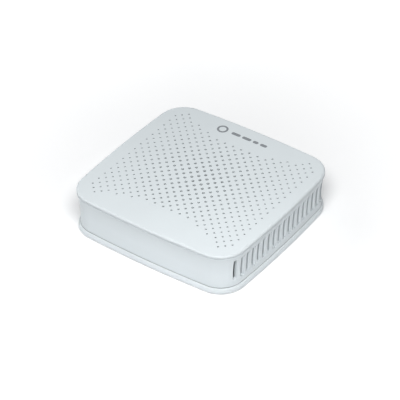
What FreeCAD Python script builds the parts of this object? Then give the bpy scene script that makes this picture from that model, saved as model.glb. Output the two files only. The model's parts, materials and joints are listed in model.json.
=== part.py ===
"""Optical network terminal: a small desktop box that joins an optical fibre to wired LAN ports.

Millimetres. Origin on the resting plane, under the middle of the case. +Z is up, -Y is the plain
front, +X is the right side with its vent slots, and +Y is the rear with the ports.
"""
import FreeCAD, Part
import math
import os

V = FreeCAD.Vector
X_AXIS, Y_AXIS, Z_AXIS = V(1, 0, 0), V(0, 1, 0), V(0, 0, 1)

# ---------------------------------------------------------------- driving dimensions
# Case outline, measured at the lip of the top cover
WIDTH = 114.0
DEPTH = 110.0
HEIGHT = 27.6            # resting plane to the top face
SIDE_RADIUS = 700.0      # the four sides bow outward slightly
CORNER_RADIUS = 16.2

PAST = 1.0               # cutters run this far past the faces that they open
TOUCH = 0.01             # edges within this of a face belong to it

# Heights
BASE_Z = 1.0             # underside of the bottom cover; the feet stand proud below it
BASE_PLATE = 1.8
FLANGE_TOP_Z = 4.2
FRAME_BOTTOM_Z = 4.5
BEAD_Z = 24.5            # where the frame's outer bead starts
FRAME_TOP_Z = 25.8
LIP_Z = 26.0             # lower edge of the cover's lip
FIELD_UNDER_Z = 26.4     # underside of the thinned, perforated area

# Wall section: distances inward from the outline
FLANGE_INSET = 0.35
FLANGE_LEDGE_INSET = 1.5
FLANGE_CHAMFER = 0.4
FLANGE_EDGE = 0.9            # height of the rounded upper edge
FLANGE_ROUND = (0.35, 0.3)   # how far that edge's arc stays in and below its corner
GROOVE_Z = 3.4           # floor of the shadow groove between the flange and the frame
GROOVE_INNER_INSET = 2.4
WAIST_INSET = 1.75
WAIST_Z = 11.5
WALL_RADIUS = 75.0       # the wall is hollow ground to this radius
WALL_THICKNESS = 1.6
WALL_INNER_INSET = 3.5   # at the frame's upper and lower rims, which are thicker than the wall
RIM_HEIGHT = 1.8
BEAD_INSET = 0.12
BEAD_CREST_Z = 25.1
BEAD_SHOULDER_INSET = 0.7
LIP_STEP_INSET = 0.9
LIP_FILLET = 1.25
LIP_LOWER_EDGE = 0.3
SPIGOT_INSET = 3.6
SPIGOT_THICKNESS = 1.2
SPIGOT_TOP_Z = 7.0
SPIGOT_GAP = 2.5         # room beside the rear panel
SKIRT_BOTTOM_Z = 23.8

# Perforated field of the top cover: a square grid turned by 45 degrees
HOLE_PITCH = 4.0
FIELD_CENTRE = (0.5, 0.8)
FIELD_HALF_DEPTH = 34.5  # at the middle of the front and rear borders
FIELD_BOW = 0.0066       # the borders draw in towards the middle of the front and rear
FIELD_MARGIN = 6.5       # least distance to the outline
HOLE_D_CENTRE = 1.97
HOLE_D_SLOPE = 0.0175    # millimetres of diameter lost per millimetre from the centre
HOLE_D_MIN = 1.15

# Vent slots in the left and right walls
SLOT_COUNT = 18
SLOT_PITCH = 4.97
SLOT_ROW_Y = -0.5        # middle of each row
SLOT_WIDTH = 3.1
SLOT_Z = (7.9, 22.2)
SLOT_CORNER = 0.8
SLOT_REACH = 12.0        # length of the cutters, across the wall
SLOT_FALL = 20.0         # degrees by which the slots slope down to the outside
BEVEL_WIDTH = 0.75       # part of a slot's width taken by the bevel along its rear edge
BEVEL_DEPTH = 0.45
BEVEL_REACH = 1.2        # how far the bevel's cutter stands out of the wall
BEVEL_OVERLAP = 0.1      # how far it reaches into the slot

# Screws, feet and bosses
CASE_BOSS_AT = (45.0, 42.5)
CASE_BOSS_R = 3.0
CASE_BOSS_BORE_R = 1.55
CASE_PILLAR_R = 4.0
CASE_PILLAR_TOP_Z = 5.5
CASE_BORE_TOP_Z = 16.0
COUNTERBORE_R = 3.0
COUNTERBORE_TOP_Z = 3.9
CASE_CLEARANCE_R = 1.7
CASE_SCREW_R = 1.45
CASE_SCREW_TIP_Z = 15.0
SCREW_HEAD_R = 2.6
SCREW_HEAD_H = 2.0
SCREW_HEAD_EDGE = 0.6
SCREW_CROSS = (2.8, 0.6)
SCREW_CROSS_DEPTH = 0.9
FOOT_R = 5.5
FOOT_RECESS_R = 5.7
FOOT_TOP_Z = 1.8
FOOT_EDGE = 0.4
BOARD_SCREW_AT = ((37.0, -34.0), (-37.0, -34.0), (37.0, 20.0), (-37.0, 20.0))
STANDOFF_R = 3.2
STANDOFF_BORE_R = 1.3
STANDOFF_FLOOR = 0.8
BOARD_SCREW_R = 1.25
BOARD_SCREW_LENGTH = 5.0
BOARD_HOLE_R = 1.6

# Underside features
LABEL_SIZE = (52.0, 34.0)
LABEL_DEPTH = 0.2
LABEL_THICKNESS = 0.15
LABEL_CORNER = 2.0
LABEL_PLAY = 0.2
KEYHOLE_X = 38.0         # two wall-mounting keyholes, one each side
KEYHOLE_HEAD_R = 3.6
KEYHOLE_SLOT_R = 1.9
KEYHOLE_LENGTH = 6.5
POCKET_SIZE = (11.0, 17.5, 2.9)
POCKET_WALL = 1.0
VENT_COUNT = 12
VENT_PITCH = 5.0
VENT_SIZE = (2.0, 13.0)
VENT_CORNER = 0.9
VENT_Y = 29.0

# Main board
BOARD_HALF_WIDTH = 41.5
BOARD_FRONT_Y = -39.0
BOARD_REAR_Y = 47.6
BOARD_Z = 6.2
BOARD_THICKNESS = 1.6
BOARD_CORNER = 1.5
BOARD_TOP_Z = BOARD_Z + BOARD_THICKNESS

# Rear panel: a flat plate behind a short bezel that lines the window in the side frame
PANEL_Y = (48.0, 49.5)
PANEL_HALF_WIDTH = 43.0
PANEL_Z = (2.8, 23.7)
PANEL_PLAY = 0.1
RIB_DEPTH = 1.5
RIB_INSET = 0.5          # from the panel's end to the middle of the rib
RIB_TOP_Z = 6.0
BEZEL_Y = 52.4
BEZEL_HALF_WIDTH = 39.6
BEZEL_Z = (5.8, 23.4)
BEZEL_WALL = 1.2
WINDOW_CLEARANCE = 0.1
WINDOW_CORNER = 1.5
BEZEL_INNER_CORNER = 0.6
CUT_OUT_DEPTH = 0.5      # how far the panel's cut-outs run into the bezel's space
PORT_FACE_Y = 50.0
PORT_GAP = 0.2           # between a port and its cut-out

# Ports along the rear, from the middle of each
OPTICAL_X = 31.0
OPTICAL_Z = 13.2
LAN_X = (15.5, -1.5)
RESET_X = -14.0
RESET_Z = 10.3
DC_X = -23.0
DC_Z = 14.3
POWER_X = -33.0
POWER_Z = 12.5

# LAN jack (RJ45 size)
JACK_SIZE = (16.0, 21.3, 13.4)
JACK_SHEET = 0.3
JACK_GAP = 0.05
JACK_WINDOW = (6.6, 0.8, 12.6)   # half width, and lower and upper edge above the board
PLUG_HALF_WIDTH = 5.95
PLUG_Z = (3.0, 9.9)
PLUG_DEPTH = 15.0
LATCH_HALF_WIDTH = 3.1
LATCH_Z = 1.4
CONTACT_COUNT = 8
CONTACT_PITCH = 1.02
CONTACT_WIDTH = 0.4
CONTACT_THICKNESS = 0.3
CONTACT_START = 3.0      # behind the front of the insert
CONTACT_ROOT = 0.9
CONTACT_END = 10.5
CONTACT_DROP = 2.5
LAMP_SIZE = (2.6, 4.0, 1.7)
LAMP_X = 4.9
LAMP_Z = 10.6

# Optical port (SC size)
SHELL_SIZE = (12.8, 24.0, 9.3)
SHELL_MOUTH = (9.3, 16.0, 7.6)
SHELL_KEY_WIDTH = 3.4
SHELL_KEY_OVERLAP = 0.5
SHELL_FOOT = (2.5, 10.0)
SHELL_FOOT_X = 4.0
SHELL_BORE_R = 3.0
FERRULE_R = 2.45
FERRULE_BORE_R = 1.26
FERRULE_Y = (30.0, 41.0)
FERRULE_FLOOR = 2.0
TRANSCEIVER_SIZE = (7.0, 12.0, 7.0)
TRANSCEIVER_REAR_Y = 29.9
TRANSCEIVER_EDGE = 1.0
TRANSCEIVER_PLAY = 0.2
TRANSCEIVER_GAP = 0.1
LASER_R = 2.8
LASER_LENGTH = 6.0
RECEIVER_R = 2.3
RECEIVER_LENGTH = 5.0
RECEIVER_Y = 21.9
CAN_STEP = 0.5           # how far a can's base stands out from its cap
CAN_FLANGE = 1.1
LEAD_WIDTH = 0.45
LEAD_PITCH = 1.3
LEAD_REACH = 2.0

# DC jack (5.5 mm plug, 2.1 mm pin)
DC_SIZE = (9.0, 14.0, 11.0)
DC_BORE_R = 3.1
DC_BORE_DEPTH = 9.5
DC_PIN_R = 1.0
DC_EDGE = 0.6
DC_PIN_ROOT = 2.0
DC_PIN_SET_BACK = 1.0
DC_PIN_TIP = 0.5
DC_SPRING = (1.6, 7.0, 0.3)
DC_SPRING_Z = 0.35       # below the bore's lowest line
DC_SPRING_PLAY = 0.05
DC_GROOVE_DEPTH = 0.6
DC_GROOVE_SET_BACK = 1.5

# Power switch and button
SWITCH_SIZE = (8.0, 12.0, 8.5)
SWITCH_FRONT_Y = 43.8
SWITCH_EDGE = 0.4
BUTTON_TRAVEL = 2.5
BUTTON_R = 3.5
BUTTON_HOLE_R = 3.8
BUTTON_Y = (46.8, 52.6)
BUTTON_EDGE = 0.8
STEM_HALF = 1.5
STEM_BACK_Y = 41.1
STEM_CLEARANCE = 0.3

# Reset switch and plunger
RESET_SIZE = (6.2, 3.4, 4.4)
RESET_FRONT_Y = 47.0
PLUNGER_R = 0.95
PLUNGER_Y = (46.0, 47.7)
PLUNGER_WELL = 1.8
PINHOLE_R = 1.2

# Status lamps and light guide
GUIDE_X = (-12.5, -17.0, -21.5, -26.0)
GUIDE_Z = 20.4
GUIDE_R = 1.0
GUIDE_HOLE_R = 1.15
GUIDE_Y = 34.0
GUIDE_FOOT_Z = 8.8
GUIDE_PROUD = 0.3        # how far the rods stand out of the panel
LAMP_CHIP = (2.0, 1.25, 0.8)

# Circuit parts: size, then place on the board
PROCESSOR = ((17.0, 17.0, 1.2), (0.0, -5.0))
THERMAL_PAD = ((16.0, 16.0, 0.5), (0.0, -5.0))
SINK_SIZE = (28.0, 28.0, 8.0)
SINK_BASE = 1.5
SINK_FINS = 9
SINK_FIN = 1.0
MEMORY = ((8.0, 12.5, 1.0), (24.0, -22.0))
FLASH = ((8.0, 6.0, 1.0), (-22.0, -28.0))
REGULATOR = ((5.0, 5.0, 0.9), (-25.0, 5.0))
CRYSTAL = ((5.0, 3.2, 1.0), (17.0, -30.0))
TRANSFORMER_SIZE = (15.0, 7.5, 5.4)
TRANSFORMER_Y = 14.0
INDUCTOR_SIZE = (7.0, 7.0, 4.2)
INDUCTOR_CORNER = 1.2
INDUCTOR_AT = ((-25.0, 24.0), (-25.0, 14.5))
CAPACITOR_R = 4.0
CAPACITOR_H = 10.0
CAPACITOR_AT = ((-34.0, 6.0), (-34.0, -5.0), (-34.0, -16.0))
OPTICS_SHIELD = ((16.0, 13.0, 3.0), (31.0, -2.0))
SHIELD_SHEET = 0.25
PASSIVE_SIZE = (1.6, 0.8, 0.6)
PASSIVE_COUNT = 16
PASSIVE_PITCH = 3.2
PASSIVE_Y = -36.5

# Printed mark on the top: a ring and a row of bars
MARK_Y = 45.3
MARK_THICKNESS = 0.05
MARK_RING_X = -17.0
MARK_RING_R = (3.4, 2.2)
MARK_BARS = ((-10.5, -4.5), (-3.0, 3.0), (4.5, 8.0), (9.5, 14.0))
MARK_BAR_HEIGHT = 2.2
MARK_BAR_CORNER = 1.0


# ---------------------------------------------------------------- basic shapes
def block(x, y, z):
    """Box from three (low, high) pairs."""
    return Part.makeBox(x[1] - x[0], y[1] - y[0], z[1] - z[0], V(x[0], y[0], z[0]))


def span(middle, size):
    """The (low, high) pair of a size centred on a middle."""
    return (middle - size / 2, middle + size / 2)


def rod(radius, start, end):
    """Round bar between two points."""
    along = end.sub(start)
    return Part.makeCylinder(radius, along.Length, start, along)


def on_board(size, place):
    """Box standing on the board."""
    return block(span(place[0], size[0]), span(place[1], size[1]), (BOARD_TOP_Z, BOARD_TOP_Z + size[2]))


def fuse(shapes):
    """One clean solid from touching shapes."""
    return shapes[0].multiFuse(shapes[1:]).removeSplitter()


def group(shapes):
    """Separate solids kept together in one node."""
    return Part.makeCompound(shapes)


def four_corners(place):
    """The four mirrored places of one corner place."""
    return [(sx * place[0], sy * place[1]) for sx in (1, -1) for sy in (1, -1)]


def edges_along(shape, axis):
    """The straight edges of a shape that run along an axis."""
    return [e for e in shape.Edges if abs(e.tangentAt(e.FirstParameter).dot(axis)) > 1 - TOUCH]


def rounded_block(x, y, z, radius, axis):
    """Box whose edges along one axis are rounded."""
    body = block(x, y, z)
    return body.makeFillet(radius, edges_along(body, axis))


# ---------------------------------------------------------------- case outline
def outline_arcs():
    """Centre, radius and start and end angle of the eight tangent arcs, anticlockwise from +X."""
    side = V(WIDTH / 2 - SIDE_RADIUS, 0, 0)
    rear = V(0, DEPTH / 2 - SIDE_RADIUS, 0)
    reach = SIDE_RADIUS - CORNER_RADIUS
    half = rear.sub(side).Length / 2
    middle = side.add(rear) * 0.5
    outward = V(-rear.y, -side.x, 0).normalize()
    corner = middle.add(outward * math.sqrt(reach ** 2 - half ** 2))
    low = math.degrees(math.atan2(corner.y, corner.x - side.x))
    high = math.degrees(math.atan2(corner.y - rear.y, corner.x))
    arcs = []
    for turn, far in ((0, side), (180, V(-side.x, 0, 0))):
        arcs.append((far, SIDE_RADIUS, turn - low, turn + low))
    for turn, far in ((0, rear), (180, V(0, -rear.y, 0))):
        arcs.append((far, SIDE_RADIUS, turn + high, turn + 180 - high))
    for sx, sy, start, end in ((1, 1, low, high), (-1, 1, 180 - high, 180 - low),
                               (-1, -1, 180 + low, 180 + high), (1, -1, 360 - high, 360 - low)):
        arcs.append((V(sx * corner.x, sy * corner.y, 0), CORNER_RADIUS, start, end))
    return sorted(arcs, key=lambda arc: arc[2])


OUTLINE = outline_arcs()


def polar(centre, radius, degrees, z):
    """Point at an angle round a centre, at height z."""
    angle = math.radians(degrees)
    return V(centre.x + radius * math.cos(angle), centre.y + radius * math.sin(angle), z)


def outline_wire(inset, z):
    """Closed outline moved inward by inset."""
    edges = []
    for centre, radius, start, end in OUTLINE:
        points = [polar(centre, radius - inset, a, z) for a in (start, (start + end) / 2, end)]
        edges.append(Part.Arc(*points).toShape())
    return Part.Wire(edges)


def plate(inset, low, high):
    """Flat plate that fills the outline."""
    return Part.Face(outline_wire(inset, low)).extrude(V(0, 0, high - low))


def section(radius, start, steps):
    """Face of (inset, z) points, where inset counts inward from a radius about the Z axis.

    Each step is a point, reached by a line, or a pair of points, an arc through the first to the second.
    """
    edges = []
    here = V(radius - start[0], 0, start[1])
    for step in steps + [start]:
        through = step if isinstance(step[0], tuple) else (step,)
        points = [here] + [V(radius - inset, 0, z) for inset, z in through]
        edges.append(Part.Arc(*points).toShape() if len(points) == 3 else Part.makeLine(*points))
        here = points[-1]
    return Part.Face(Part.Wire(edges))


def ring(start, steps):
    """Solid swept round the outline from a section."""
    solids = []
    for centre, radius, first, last in OUTLINE:
        face = section(radius, start, steps)
        face.rotate(V(0, 0, 0), Z_AXIS, first)
        face.translate(centre)
        solids.append(face.revolve(centre, Z_AXIS, last - first))
    return fuse(solids)


def wall_inset(z):
    """Inset of the hollow-ground outer wall at height z."""
    return WAIST_INSET - WALL_RADIUS + math.sqrt(WALL_RADIUS ** 2 - (z - WAIST_Z) ** 2)


# ---------------------------------------------------------------- case
def inside_field(x, y):
    """Whether a hole at (x, y) from the middle of the field belongs to it."""
    if abs(y) > FIELD_HALF_DEPTH + FIELD_BOW * x * x:
        return False
    corner = next(centre for centre, radius, *_ in OUTLINE if radius == CORNER_RADIUS)
    dx, dy = abs(x) - abs(corner.x), abs(y) - abs(corner.y)
    if dx > 0 and dy > 0:
        return math.hypot(dx, dy) < CORNER_RADIUS - FIELD_MARGIN
    return abs(x) < WIDTH / 2 - FIELD_MARGIN - y * y / (2 * SIDE_RADIUS)


def field_holes():
    """Tapering round holes, largest in the middle of the field."""
    step = HOLE_PITCH / math.sqrt(2)
    reach = int(WIDTH / 2 / step)
    holes = []
    for column in range(-reach, reach + 1):
        for row in range(-reach, reach + 1):
            x, y = column * step, row * step
            if (column + row) % 2 == 1 and inside_field(x, y):
                diameter = max(HOLE_D_MIN, HOLE_D_CENTRE - HOLE_D_SLOPE * math.hypot(x, y))
                x, y = x + FIELD_CENTRE[0], y + FIELD_CENTRE[1]
                holes.append(rod(diameter / 2, V(x, y, FRAME_TOP_Z - PAST), V(x, y, HEIGHT + PAST)))
    return holes


def top_cover():
    lip = plate(0, LIP_Z, HEIGHT)
    lip = lip.makeFillet(LIP_FILLET, [e for e in lip.Edges if e.BoundBox.ZMin > HEIGHT - TOUCH])
    lip = lip.makeFillet(LIP_LOWER_EDGE, [e for e in lip.Edges if e.BoundBox.ZMax < LIP_Z + TOUCH])
    step = plate(LIP_STEP_INSET, FRAME_TOP_Z, LIP_Z)
    skirt = plate(SPIGOT_INSET, SKIRT_BOTTOM_Z, FRAME_TOP_Z)
    skirt = skirt.cut(plate(SPIGOT_INSET + SPIGOT_THICKNESS, SKIRT_BOTTOM_Z - PAST, FRAME_TOP_Z))
    bosses = [rod(CASE_BOSS_R, V(x, y, CASE_PILLAR_TOP_Z), V(x, y, FIELD_UNDER_Z))
              for x, y in four_corners(CASE_BOSS_AT)]
    bores = [rod(CASE_BOSS_BORE_R, V(x, y, CASE_PILLAR_TOP_Z - PAST), V(x, y, CASE_BORE_TOP_Z))
             for x, y in four_corners(CASE_BOSS_AT)]
    thinning = plate(SPIGOT_INSET + SPIGOT_THICKNESS, FRAME_TOP_Z - PAST, FIELD_UNDER_Z)
    return fuse([lip.fuse(step).cut(thinning), skirt] + bosses).cut(field_holes() + bores)


def slot_bevel(side, wall_x, y):
    """Cutter for the bevel along the rear edge of a slot."""
    slope = BEVEL_WIDTH / BEVEL_DEPTH
    start = y + SLOT_WIDTH / 2 - BEVEL_WIDTH - BEVEL_OVERLAP
    depth = BEVEL_DEPTH + BEVEL_OVERLAP / slope
    inner, outer = side * (wall_x - depth), side * (wall_x + BEVEL_REACH)
    corners = [V(inner, start, SLOT_Z[0]), V(outer, start + slope * (depth + BEVEL_REACH), SLOT_Z[0]),
               V(outer, start, SLOT_Z[0])]
    height = SLOT_Z[1] - SLOT_Z[0]
    wedge = Part.Face(Part.makePolygon(corners + corners[:1])).extrude(Z_AXIS * height)
    lean = math.degrees(math.atan((wall_inset(SLOT_Z[0]) - wall_inset(SLOT_Z[1])) / height))
    wedge.rotate(V(side * wall_x, y, SLOT_Z[0] + height / 2), Y_AXIS, side * lean)
    return wedge.common(rounded_block(span(side * wall_x, 2 * (BEVEL_DEPTH + BEVEL_REACH)),
                                      span(y, SLOT_WIDTH), SLOT_Z, SLOT_CORNER, X_AXIS))


def wall_slots():
    """Cutters for the vent slots of both side walls, which slope down to the outside."""
    first = SLOT_ROW_Y - SLOT_PITCH * (SLOT_COUNT - 1) / 2
    middle_z = (SLOT_Z[0] + SLOT_Z[1]) / 2
    height = (SLOT_Z[1] - SLOT_Z[0]) * math.cos(math.radians(SLOT_FALL))
    cutters = []
    for number in range(SLOT_COUNT):
        y = first + number * SLOT_PITCH
        wall_x = WIDTH / 2 - wall_inset(middle_z) - y * y / (2 * SIDE_RADIUS)
        for side in (1, -1):
            cutter = rounded_block(span(side * wall_x, SLOT_REACH),
                                   (y - SLOT_WIDTH / 2, y + SLOT_WIDTH / 2 - BEVEL_WIDTH),
                                   span(middle_z, height), SLOT_CORNER, X_AXIS)
            cutter.rotate(V(side * wall_x, y, middle_z), Y_AXIS, side * SLOT_FALL)
            cutters.append(fuse([cutter, slot_bevel(side, wall_x, y)]))
    return cutters


def side_frame():
    low, high = FRAME_BOTTOM_Z + RIM_HEIGHT, FRAME_TOP_Z - RIM_HEIGHT
    middle = (low + high) / 2
    ring_body = ring((WALL_INNER_INSET, FRAME_BOTTOM_Z), [
        (wall_inset(FRAME_BOTTOM_Z), FRAME_BOTTOM_Z),
        ((wall_inset(middle), middle), (wall_inset(BEAD_Z), BEAD_Z)),
        ((BEAD_INSET, BEAD_CREST_Z), (BEAD_SHOULDER_INSET, FRAME_TOP_Z)),
        (WALL_INNER_INSET, FRAME_TOP_Z),
        (WALL_INNER_INSET, high),
        (wall_inset(high) + WALL_THICKNESS, high),
        ((wall_inset(middle) + WALL_THICKNESS, middle), (wall_inset(low) + WALL_THICKNESS, low)),
        (WALL_INNER_INSET, low)])
    half = BEZEL_HALF_WIDTH + WINDOW_CLEARANCE
    height = (BEZEL_Z[0] - WINDOW_CLEARANCE, BEZEL_Z[1] + WINDOW_CLEARANCE)
    window = rounded_block((-half, half), (DEPTH / 4, DEPTH), height, WINDOW_CORNER, Y_AXIS)
    return ring_body.cut(wall_slots() + [window])


def keyhole(side):
    """Round entry with a narrower slot towards the front, so that the ports hang downward."""
    x = side * KEYHOLE_X
    low, high = BASE_Z - PAST, BASE_Z + BASE_PLATE + PAST
    entry = rod(KEYHOLE_HEAD_R, V(x, KEYHOLE_LENGTH / 2, low), V(x, KEYHOLE_LENGTH / 2, high))
    end = rod(KEYHOLE_SLOT_R, V(x, -KEYHOLE_LENGTH / 2, low), V(x, -KEYHOLE_LENGTH / 2, high))
    slot = block(span(x, 2 * KEYHOLE_SLOT_R), span(0, KEYHOLE_LENGTH), (low, high))
    return fuse([entry, end, slot])


def keyhole_pocket(side, shrink):
    """Closed pocket above a keyhole; shrink gives its inside."""
    width, length, height = (size - 2 * shrink for size in POCKET_SIZE)
    floor = BASE_Z + BASE_PLATE
    top = floor + POCKET_SIZE[2] - shrink
    return block(span(side * KEYHOLE_X, width), span(0, length), (floor, top))


def bottom_vents():
    first = -VENT_PITCH * (VENT_COUNT - 1) / 2
    cutters = []
    for number in range(VENT_COUNT):
        for side in (1, -1):
            x = span(first + number * VENT_PITCH, VENT_SIZE[0])
            y = span(side * VENT_Y, VENT_SIZE[1])
            z = (BASE_Z - PAST, BASE_Z + BASE_PLATE + PAST)
            cutters.append(rounded_block(x, y, z, VENT_CORNER, Z_AXIS))
    return cutters


def panel_ribs():
    """Ribs that stand in front of the ends of the rear panel and hold it back."""
    y = (PANEL_Y[0] - RIB_DEPTH - PANEL_PLAY, PANEL_Y[0] - PANEL_PLAY)
    z = (BASE_Z + BASE_PLATE, RIB_TOP_Z)
    return [block(span(side * (PANEL_HALF_WIDTH - RIB_INSET), RIB_DEPTH), y, z) for side in (1, -1)]


def panel_groove():
    """Cutter that lets the foot of the rear panel into the flange."""
    half = PANEL_HALF_WIDTH + PANEL_PLAY
    return block((-half, half), (PANEL_Y[0] - PANEL_PLAY, PANEL_Y[1] + PANEL_PLAY), (PANEL_Z[0], HEIGHT))


def bottom_cover():
    floor = BASE_Z + BASE_PLATE
    flange = ring((WALL_INNER_INSET + PAST, BASE_Z), [
        (FLANGE_INSET + FLANGE_CHAMFER, BASE_Z),
        (FLANGE_INSET, BASE_Z + FLANGE_CHAMFER),
        (FLANGE_INSET, FLANGE_TOP_Z - FLANGE_EDGE),
        ((FLANGE_INSET + FLANGE_ROUND[0], FLANGE_TOP_Z - FLANGE_ROUND[1]),
         (FLANGE_LEDGE_INSET, FLANGE_TOP_Z)),
        (FLANGE_LEDGE_INSET, GROOVE_Z),
        (GROOVE_INNER_INSET, GROOVE_Z),
        (GROOVE_INNER_INSET, FRAME_BOTTOM_Z),
        (WALL_INNER_INSET + PAST, FRAME_BOTTOM_Z)])
    spigot = plate(SPIGOT_INSET, floor, SPIGOT_TOP_Z)
    spigot = spigot.cut(plate(SPIGOT_INSET + SPIGOT_THICKNESS, floor - PAST, SPIGOT_TOP_Z + PAST))
    gap = PANEL_HALF_WIDTH + SPIGOT_GAP
    rear = block((-gap, gap), (DEPTH / 4, DEPTH), (FRAME_BOTTOM_Z, HEIGHT))
    base = [plate(WALL_INNER_INSET, BASE_Z, floor), flange, spigot.cut(rear)]
    pillars = [rod(CASE_PILLAR_R, V(x, y, BASE_Z), V(x, y, CASE_PILLAR_TOP_Z))
               for x, y in four_corners(CASE_BOSS_AT)]
    standoffs = [rod(STANDOFF_R, V(x, y, BASE_Z), V(x, y, BOARD_Z)) for x, y in BOARD_SCREW_AT]
    pockets = [keyhole_pocket(side, 0) for side in (1, -1)]
    body = fuse(base + pillars + standoffs + pockets + panel_ribs())
    cutters = [keyhole_pocket(side, POCKET_WALL) for side in (1, -1)]
    cutters += [keyhole(side) for side in (1, -1)]
    cutters += bottom_vents()
    cutters.append(panel_groove())
    for x, y in four_corners(CASE_BOSS_AT):
        cutters.append(rod(FOOT_RECESS_R, V(x, y, 0), V(x, y, FOOT_TOP_Z)))
        cutters.append(rod(COUNTERBORE_R, V(x, y, 0), V(x, y, COUNTERBORE_TOP_Z)))
        cutters.append(rod(CASE_CLEARANCE_R, V(x, y, 0), V(x, y, HEIGHT)))
    for x, y in BOARD_SCREW_AT:
        cutters.append(rod(STANDOFF_BORE_R, V(x, y, BASE_Z + STANDOFF_FLOOR), V(x, y, HEIGHT)))
    cutters.append(block(span(0, LABEL_SIZE[0] + 2 * LABEL_PLAY), span(0, LABEL_SIZE[1] + 2 * LABEL_PLAY),
                         (0, BASE_Z + LABEL_DEPTH)))
    return body.cut(cutters)


def rear_panel():
    half = BEZEL_HALF_WIDTH
    sheet = block((-PANEL_HALF_WIDTH, PANEL_HALF_WIDTH), PANEL_Y, PANEL_Z)
    bezel = rounded_block((-half, half), (PANEL_Y[1], BEZEL_Y), BEZEL_Z, WINDOW_CORNER, Y_AXIS)
    inner = rounded_block((-half + BEZEL_WALL, half - BEZEL_WALL), (PANEL_Y[1], DEPTH),
                          (BEZEL_Z[0] + BEZEL_WALL, BEZEL_Z[1] - BEZEL_WALL),
                          BEZEL_INNER_CORNER, Y_AXIS)
    body = fuse([sheet, bezel.cut(inner)])
    deep = (PANEL_Y[0] - PAST, PANEL_Y[1] + CUT_OUT_DEPTH)
    cuts = []
    for x, (width, _, height) in [(x, JACK_SIZE) for x in LAN_X] + [(DC_X, DC_SIZE)]:
        z = (BOARD_TOP_Z - PORT_GAP, BOARD_TOP_Z + height + PORT_GAP)
        cuts.append(block(span(x, width + 2 * PORT_GAP), deep, z))
    cuts.append(block(span(OPTICAL_X, SHELL_SIZE[0] + 2 * PORT_GAP), deep,
                      span(OPTICAL_Z, SHELL_SIZE[2] + 2 * PORT_GAP)))
    holes = [(BUTTON_HOLE_R, POWER_X, POWER_Z), (PINHOLE_R, RESET_X, RESET_Z)]
    holes += [(GUIDE_HOLE_R, x, GUIDE_Z) for x in GUIDE_X]
    cuts += [rod(radius, V(x, deep[0], z), V(x, deep[1], z)) for radius, x, z in holes]
    return body.cut(cuts)


# ---------------------------------------------------------------- feet, fasteners, label and print
def rubber_feet():
    feet = []
    for x, y in four_corners(CASE_BOSS_AT):
        pad = rod(FOOT_R, V(x, y, 0), V(x, y, FOOT_TOP_Z))
        rim = [e for e in pad.Edges if e.BoundBox.ZMax < TOUCH]
        feet.append(pad.makeFillet(FOOT_EDGE, rim))
    return group(feet)


def screw(seat, direction, length, radius):
    """Pan-head cross-recess screw; seat is the middle of the head's underside."""
    head = rod(SCREW_HEAD_R, seat, seat.sub(direction * SCREW_HEAD_H))
    top = seat.sub(direction * SCREW_HEAD_H)
    rim = [e for e in head.Edges if abs(e.CenterOfMass.z - top.z) < TOUCH and e.Closed]
    head = head.makeFillet(SCREW_HEAD_EDGE, rim)
    shank = rod(radius, seat, seat.add(direction * length))
    arms = [block(span(seat.x, wide), span(seat.y, narrow), span(top.z, 2 * SCREW_CROSS_DEPTH))
            for wide, narrow in (SCREW_CROSS, SCREW_CROSS[::-1])]
    return fuse([head, shank]).cut(arms)


def case_screws():
    length = CASE_SCREW_TIP_Z - COUNTERBORE_TOP_Z
    return group([screw(V(x, y, COUNTERBORE_TOP_Z), Z_AXIS, length, CASE_SCREW_R)
                  for x, y in four_corners(CASE_BOSS_AT)])


def board_screws():
    return group([screw(V(x, y, BOARD_TOP_Z), V(0, 0, -1), BOARD_SCREW_LENGTH, BOARD_SCREW_R)
                  for x, y in BOARD_SCREW_AT])


def rating_label():
    top = BASE_Z + LABEL_DEPTH
    return rounded_block(span(0, LABEL_SIZE[0]), span(0, LABEL_SIZE[1]),
                         (top - LABEL_THICKNESS, top), LABEL_CORNER, Z_AXIS)


def printed_mark():
    low, high = HEIGHT, HEIGHT + MARK_THICKNESS
    outer, inner = (rod(r, V(MARK_RING_X, MARK_Y, low), V(MARK_RING_X, MARK_Y, high)) for r in MARK_RING_R)
    bars = [rounded_block(x, span(MARK_Y, MARK_BAR_HEIGHT), (low, high), MARK_BAR_CORNER, Z_AXIS)
            for x in MARK_BARS]
    return group([outer.cut(inner)] + bars)


# ---------------------------------------------------------------- board and optics
def main_board():
    board = rounded_block((-BOARD_HALF_WIDTH, BOARD_HALF_WIDTH), (BOARD_FRONT_Y, BOARD_REAR_Y),
                          (BOARD_Z, BOARD_TOP_Z), BOARD_CORNER, Z_AXIS)
    return board.cut([rod(BOARD_HOLE_R, V(x, y, 0), V(x, y, HEIGHT)) for x, y in BOARD_SCREW_AT])


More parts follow.
